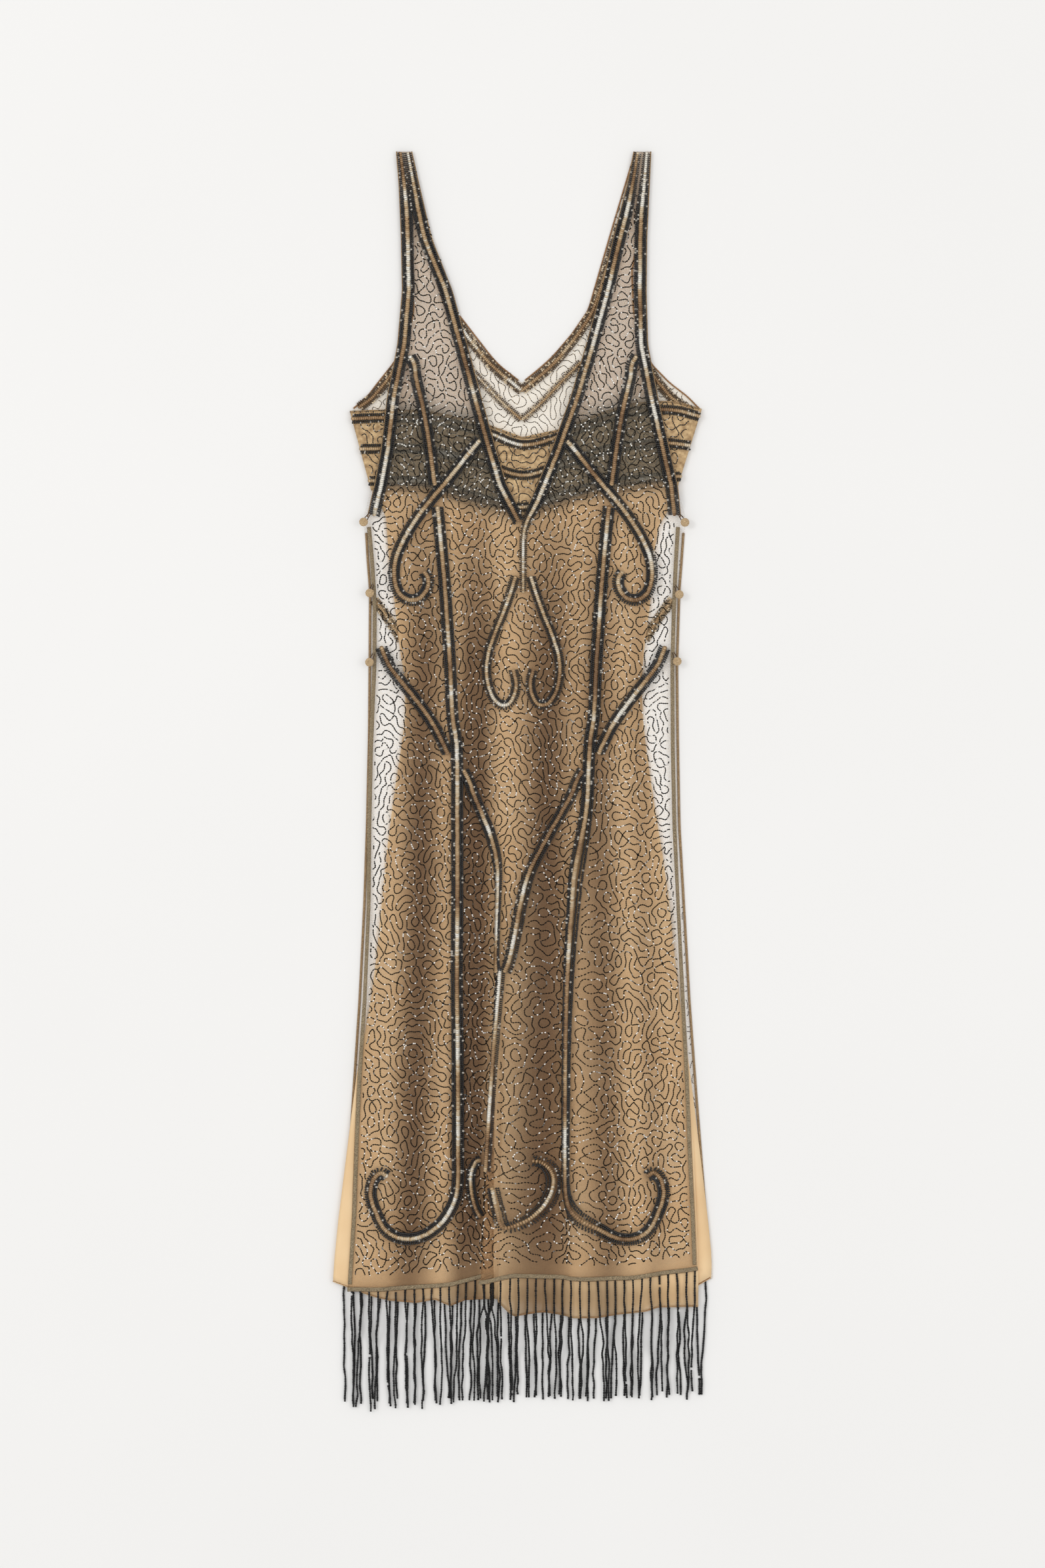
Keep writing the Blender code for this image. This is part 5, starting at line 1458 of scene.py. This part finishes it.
def fringe(name, node, surface, table, hem, base, rest, level, seed):
    """Strands of bugles below a hem. Each moves aside to its own place, comes down to the surface
    and wanders by a running sum of small random steps."""
    chance = np.random.default_rng(seed)
    left, right = table[-1][1], table[-1][4]
    across = np.linspace(left, right, 1500)
    edge = surface(across, between(hem, share_of(across, (left, right))), base) / MM
    travelled = np.concatenate([[0.0], np.cumsum(np.linalg.norm(np.diff(edge, axis=0), axis=1))])
    places = np.arange(STRAND_PITCH / 2.0, travelled[-1], STRAND_PITCH)
    roots = np.stack([np.interp(places, travelled, column) for column in edge.T], axis=-1)
    order = STRAND_SPACING * np.arange(len(roots))
    rising = np.maximum.accumulate(roots[:, 0] - order) + order
    falling = np.minimum.accumulate((roots[:, 0] - order)[::-1])[::-1] + order
    finals = (rising + falling) / 2.0
    lengths = STRAND_LENGTH + chance.uniform(-STRAND_VARIES, STRAND_VARIES, len(roots))
    steps = np.arange(0.0, STRAND_LENGTH + STRAND_VARIES, STRAND_PIECE)
    knots = np.arange(0.0, steps[-1] + 2.0 * KNOT, KNOT)
    walk = np.cumsum(chance.normal(0.0, KNOT_STEP, (len(roots), len(knots))), axis=1)
    walk = walk * np.clip(knots / WANDER_LENGTH, 0.15, 1.0) + chance.normal(0.0, KNOT_SHAKE, walk.shape)
    start = level(roots)[:, None]
    aside = ease((steps - start) / STRAND_APART)
    down = ease((steps - start - STRAND_APART) / STRAND_LANDING)
    wander = np.stack([np.interp(steps, knots, row) for row in walk])
    x = roots[:, :1] + (finals - roots[:, 0])[:, None] * aside + wander
    x = np.clip(x, SOLID_BOX[0].x / MM - 1.0, SOLID_BOX[1].x / MM + 1.0)
    z = roots[:, 2:] + (rest - roots[:, 2:]) * down
    y = roots[:, 1:2] - steps + 1.0
    path = MM * np.stack([x, y, z], axis=-1)
    centre = (path[:, 1:] + path[:, :-1]) / 2.0
    forward = unit(path[:, 1:] - path[:, :-1])
    kept = (steps[1:] <= lengths[:, None]) & (chance.random(centre.shape[:2]) > MISSING)
    centre, forward = centre[kept], forward[kept]
    side = unit(np.cross(np.array([0.0, 0.0, 1.0]), forward))
    upright = np.cross(forward, side)
    size = np.full((len(centre), 3), (STRAND_PIECE * 1.02, STRAND_WIDTH, STRAND_WIDTH * 0.9))
    size[:, 1:] *= chance.uniform(*STRAND_SIZES, (len(centre), 1))
    points, faces = strewn(STRAND_BEAD, centre, forward, side, upright, size)
    tones = np.repeat(chance.random(len(centre)), len(STRAND_BEAD[0]))
    piece = make_piece(name, points, faces, [MATERIALS["fringe beads"]], tone=tones)
    stand_for(piece, node)


def fringes():
    """Both nets' fringes. The front one stays level until it is past the slip's hem."""

    def past_skirt(roots):
        """Length of a strand that still lies over the skirt."""
        full = (roots[:, 0] - SKIRT_CUT[-1][1]) / (SKIRT_CUT[-1][3] - SKIRT_CUT[-1][1])
        over_skirt_for = between(SKIRT_FRONT_HEM, full) - TOP_LINE + roots[:, 1]
        return np.maximum(over_skirt_for + STRAND_CLEAR, STRAND_CLEAR)

    fringe("front_strands", "fringe_front", over_front, FRONT_CUT, FRONT_HEM, 0.6, FRONT_REST, past_skirt, 3)
    fringe(
        "back_strands", "fringe_back", over_back, BACK_CUT, BACK_HEM, BACK_REST, BACK_REST,
        lambda roots: np.full(len(roots), STRAND_CLEAR), 7,
    )


# A covered button's mesh: rows up its profile, sides round it, and its gathers: how deep and how many
BUTTON_ROWS = 34
BUTTON_SIDES = 40
GATHER_DEPTH = 0.025
GATHERS = 11.0


def covered_button(name, across, drop):
    """A button turned from its profile, with gathers of cloth: the rim's radius waves round it."""
    outline = np.array(
        [(0.05, SLIP_BACK_BOTTOM), (SHANK_RADIUS, SLIP_BACK_BOTTOM), (SHANK_RADIUS, DISC_BOTTOM - 0.1)]
        + [(radius, DISC_BOTTOM + height) for radius, height in BUTTON_PROFILE]
        + [(0.6, DISC_BOTTOM + BUTTON_TOP - 0.03), (0.05, DISC_BOTTOM + BUTTON_TOP)]
    )
    knots = np.linspace(0, len(outline) - 1, BUTTON_ROWS)
    radius, height = (np.interp(knots, np.arange(len(outline)), column) for column in outline.T)
    sides = BUTTON_SIDES
    angle = 2.0 * np.pi * np.arange(sides) / sides
    wave = np.sin(GATHERS * angle + 0.7 * np.sin(3.0 * angle))
    ring = radius[:, None] * (1.0 + GATHER_DEPTH * wave * ease(radius / 4.0)[:, None])
    points = spot(across + ring * np.cos(angle), drop - ring * np.sin(angle), height[:, None]).reshape(-1, 3)
    index = np.arange(len(points)).reshape(-1, sides)
    a, b = index[:-1], index[1:]
    c, d = np.roll(b, -1, axis=1), np.roll(a, -1, axis=1)
    ends = np.stack([points[:sides].mean(axis=0), points[-sides:].mean(axis=0)])
    count = len(points)
    under = np.stack([np.roll(index[0], -1), index[0], np.full(sides, count)], axis=-1)
    top = np.stack([index[-1], np.roll(index[-1], -1), np.full(sides, count + 1)], axis=-1)
    walls = [np.stack([a, d, c], axis=-1).reshape(-1, 3), np.stack([a, c, b], axis=-1).reshape(-1, 3)]
    piece = make_piece(
        f"cloth_{name}", np.concatenate([points, ends]), np.concatenate(walls + [under, top]),
        [MATERIALS["button cloth"]],
    )
    stand_for(piece, name)


def fastenings():
    """Covered buttons down both sides; their loops keep their own solids."""
    for suffix, places in (("left", BUTTONS_LEFT), ("right", BUTTONS_RIGHT)):
        for number, (across, drop) in enumerate(places, start=1):
            covered_button(f"button_{suffix}_{number}", across, drop)
            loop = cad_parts[f"loop_{suffix}_{number}"]
            loop.data.materials.clear()
            loop.data.materials.append(MATERIALS["loop thread"])


# How far the paper lies below the dress, the light from all round, and the lamps: name, place and
# diameter in metres, power in watts
FLOOR_GAP = 0.0004
STUDIO_COLOUR = (1.0, 0.995, 0.985, 1.0)
STUDIO_STRENGTH = 0.825
LAMPS = (("key", (-2.4, 0.9, 3.2), 1.4, 23.0), ("fill", (2.6, 0.2, 3.2), 2.0, 14.0))


def surface_and_light():
    """White paper under the dress, even white light from all round, and a broad light from the left."""
    corners = FLOOR_SIZE / 2.0 * np.array(((-1, -1, 0), (1, -1, 0), (1, 1, 0), (-1, 1, 0)), float)
    mesh = bpy.data.meshes.new("floor")
    mesh.from_pydata([tuple(corner - (0, 0, FLOOR_GAP)) for corner in corners], [], [(0, 1, 2, 3)])
    mesh.materials.append(MATERIALS["floor"])
    floor = bpy.data.objects.new("floor", mesh)
    bpy.context.collection.objects.link(floor)
    world = bpy.data.worlds.new("studio")
    bpy.context.scene.world = world
    world.use_nodes = True
    background = world.node_tree.nodes["Background"]
    background.inputs["Color"].default_value = STUDIO_COLOUR
    background.inputs["Strength"].default_value = STUDIO_STRENGTH
    for name, place, size, power in LAMPS:
        data = bpy.data.lights.new(name, "AREA")
        data.shape = "DISK"
        data.size = size
        data.energy = power
        lamp = bpy.data.objects.new(name, data)
        bpy.context.collection.objects.link(lamp)
        lamp.location = place
        lamp.rotation_euler = (-Vector(place)).to_track_quat("-Z", "Y").to_euler()
    bpy.context.scene.view_settings.view_transform = "Standard"


def dress():
    """Every piece, from the camera and the light to the beads."""
    camera()
    surface_and_light()
    front, back, bust = front_routes(), both_sides(BACK_ORNAMENTS, BACK_CENTRE), bandeau_routes()
    net_back()
    skirts()
    bandeau("bandeau_back", "bodice_back", over_back, BANDEAU_BACK_LIFTS)
    bandeau("bandeau_front", "bodice_front", over_bandeau, BANDEAU_FRONT_LIFTS)
    net_front()
    all_bands(front, back, bust)
    wandering_beads(front.values(), back.values(), bust.values())
    edge_details()
    fringes()
    fastenings()


dress()
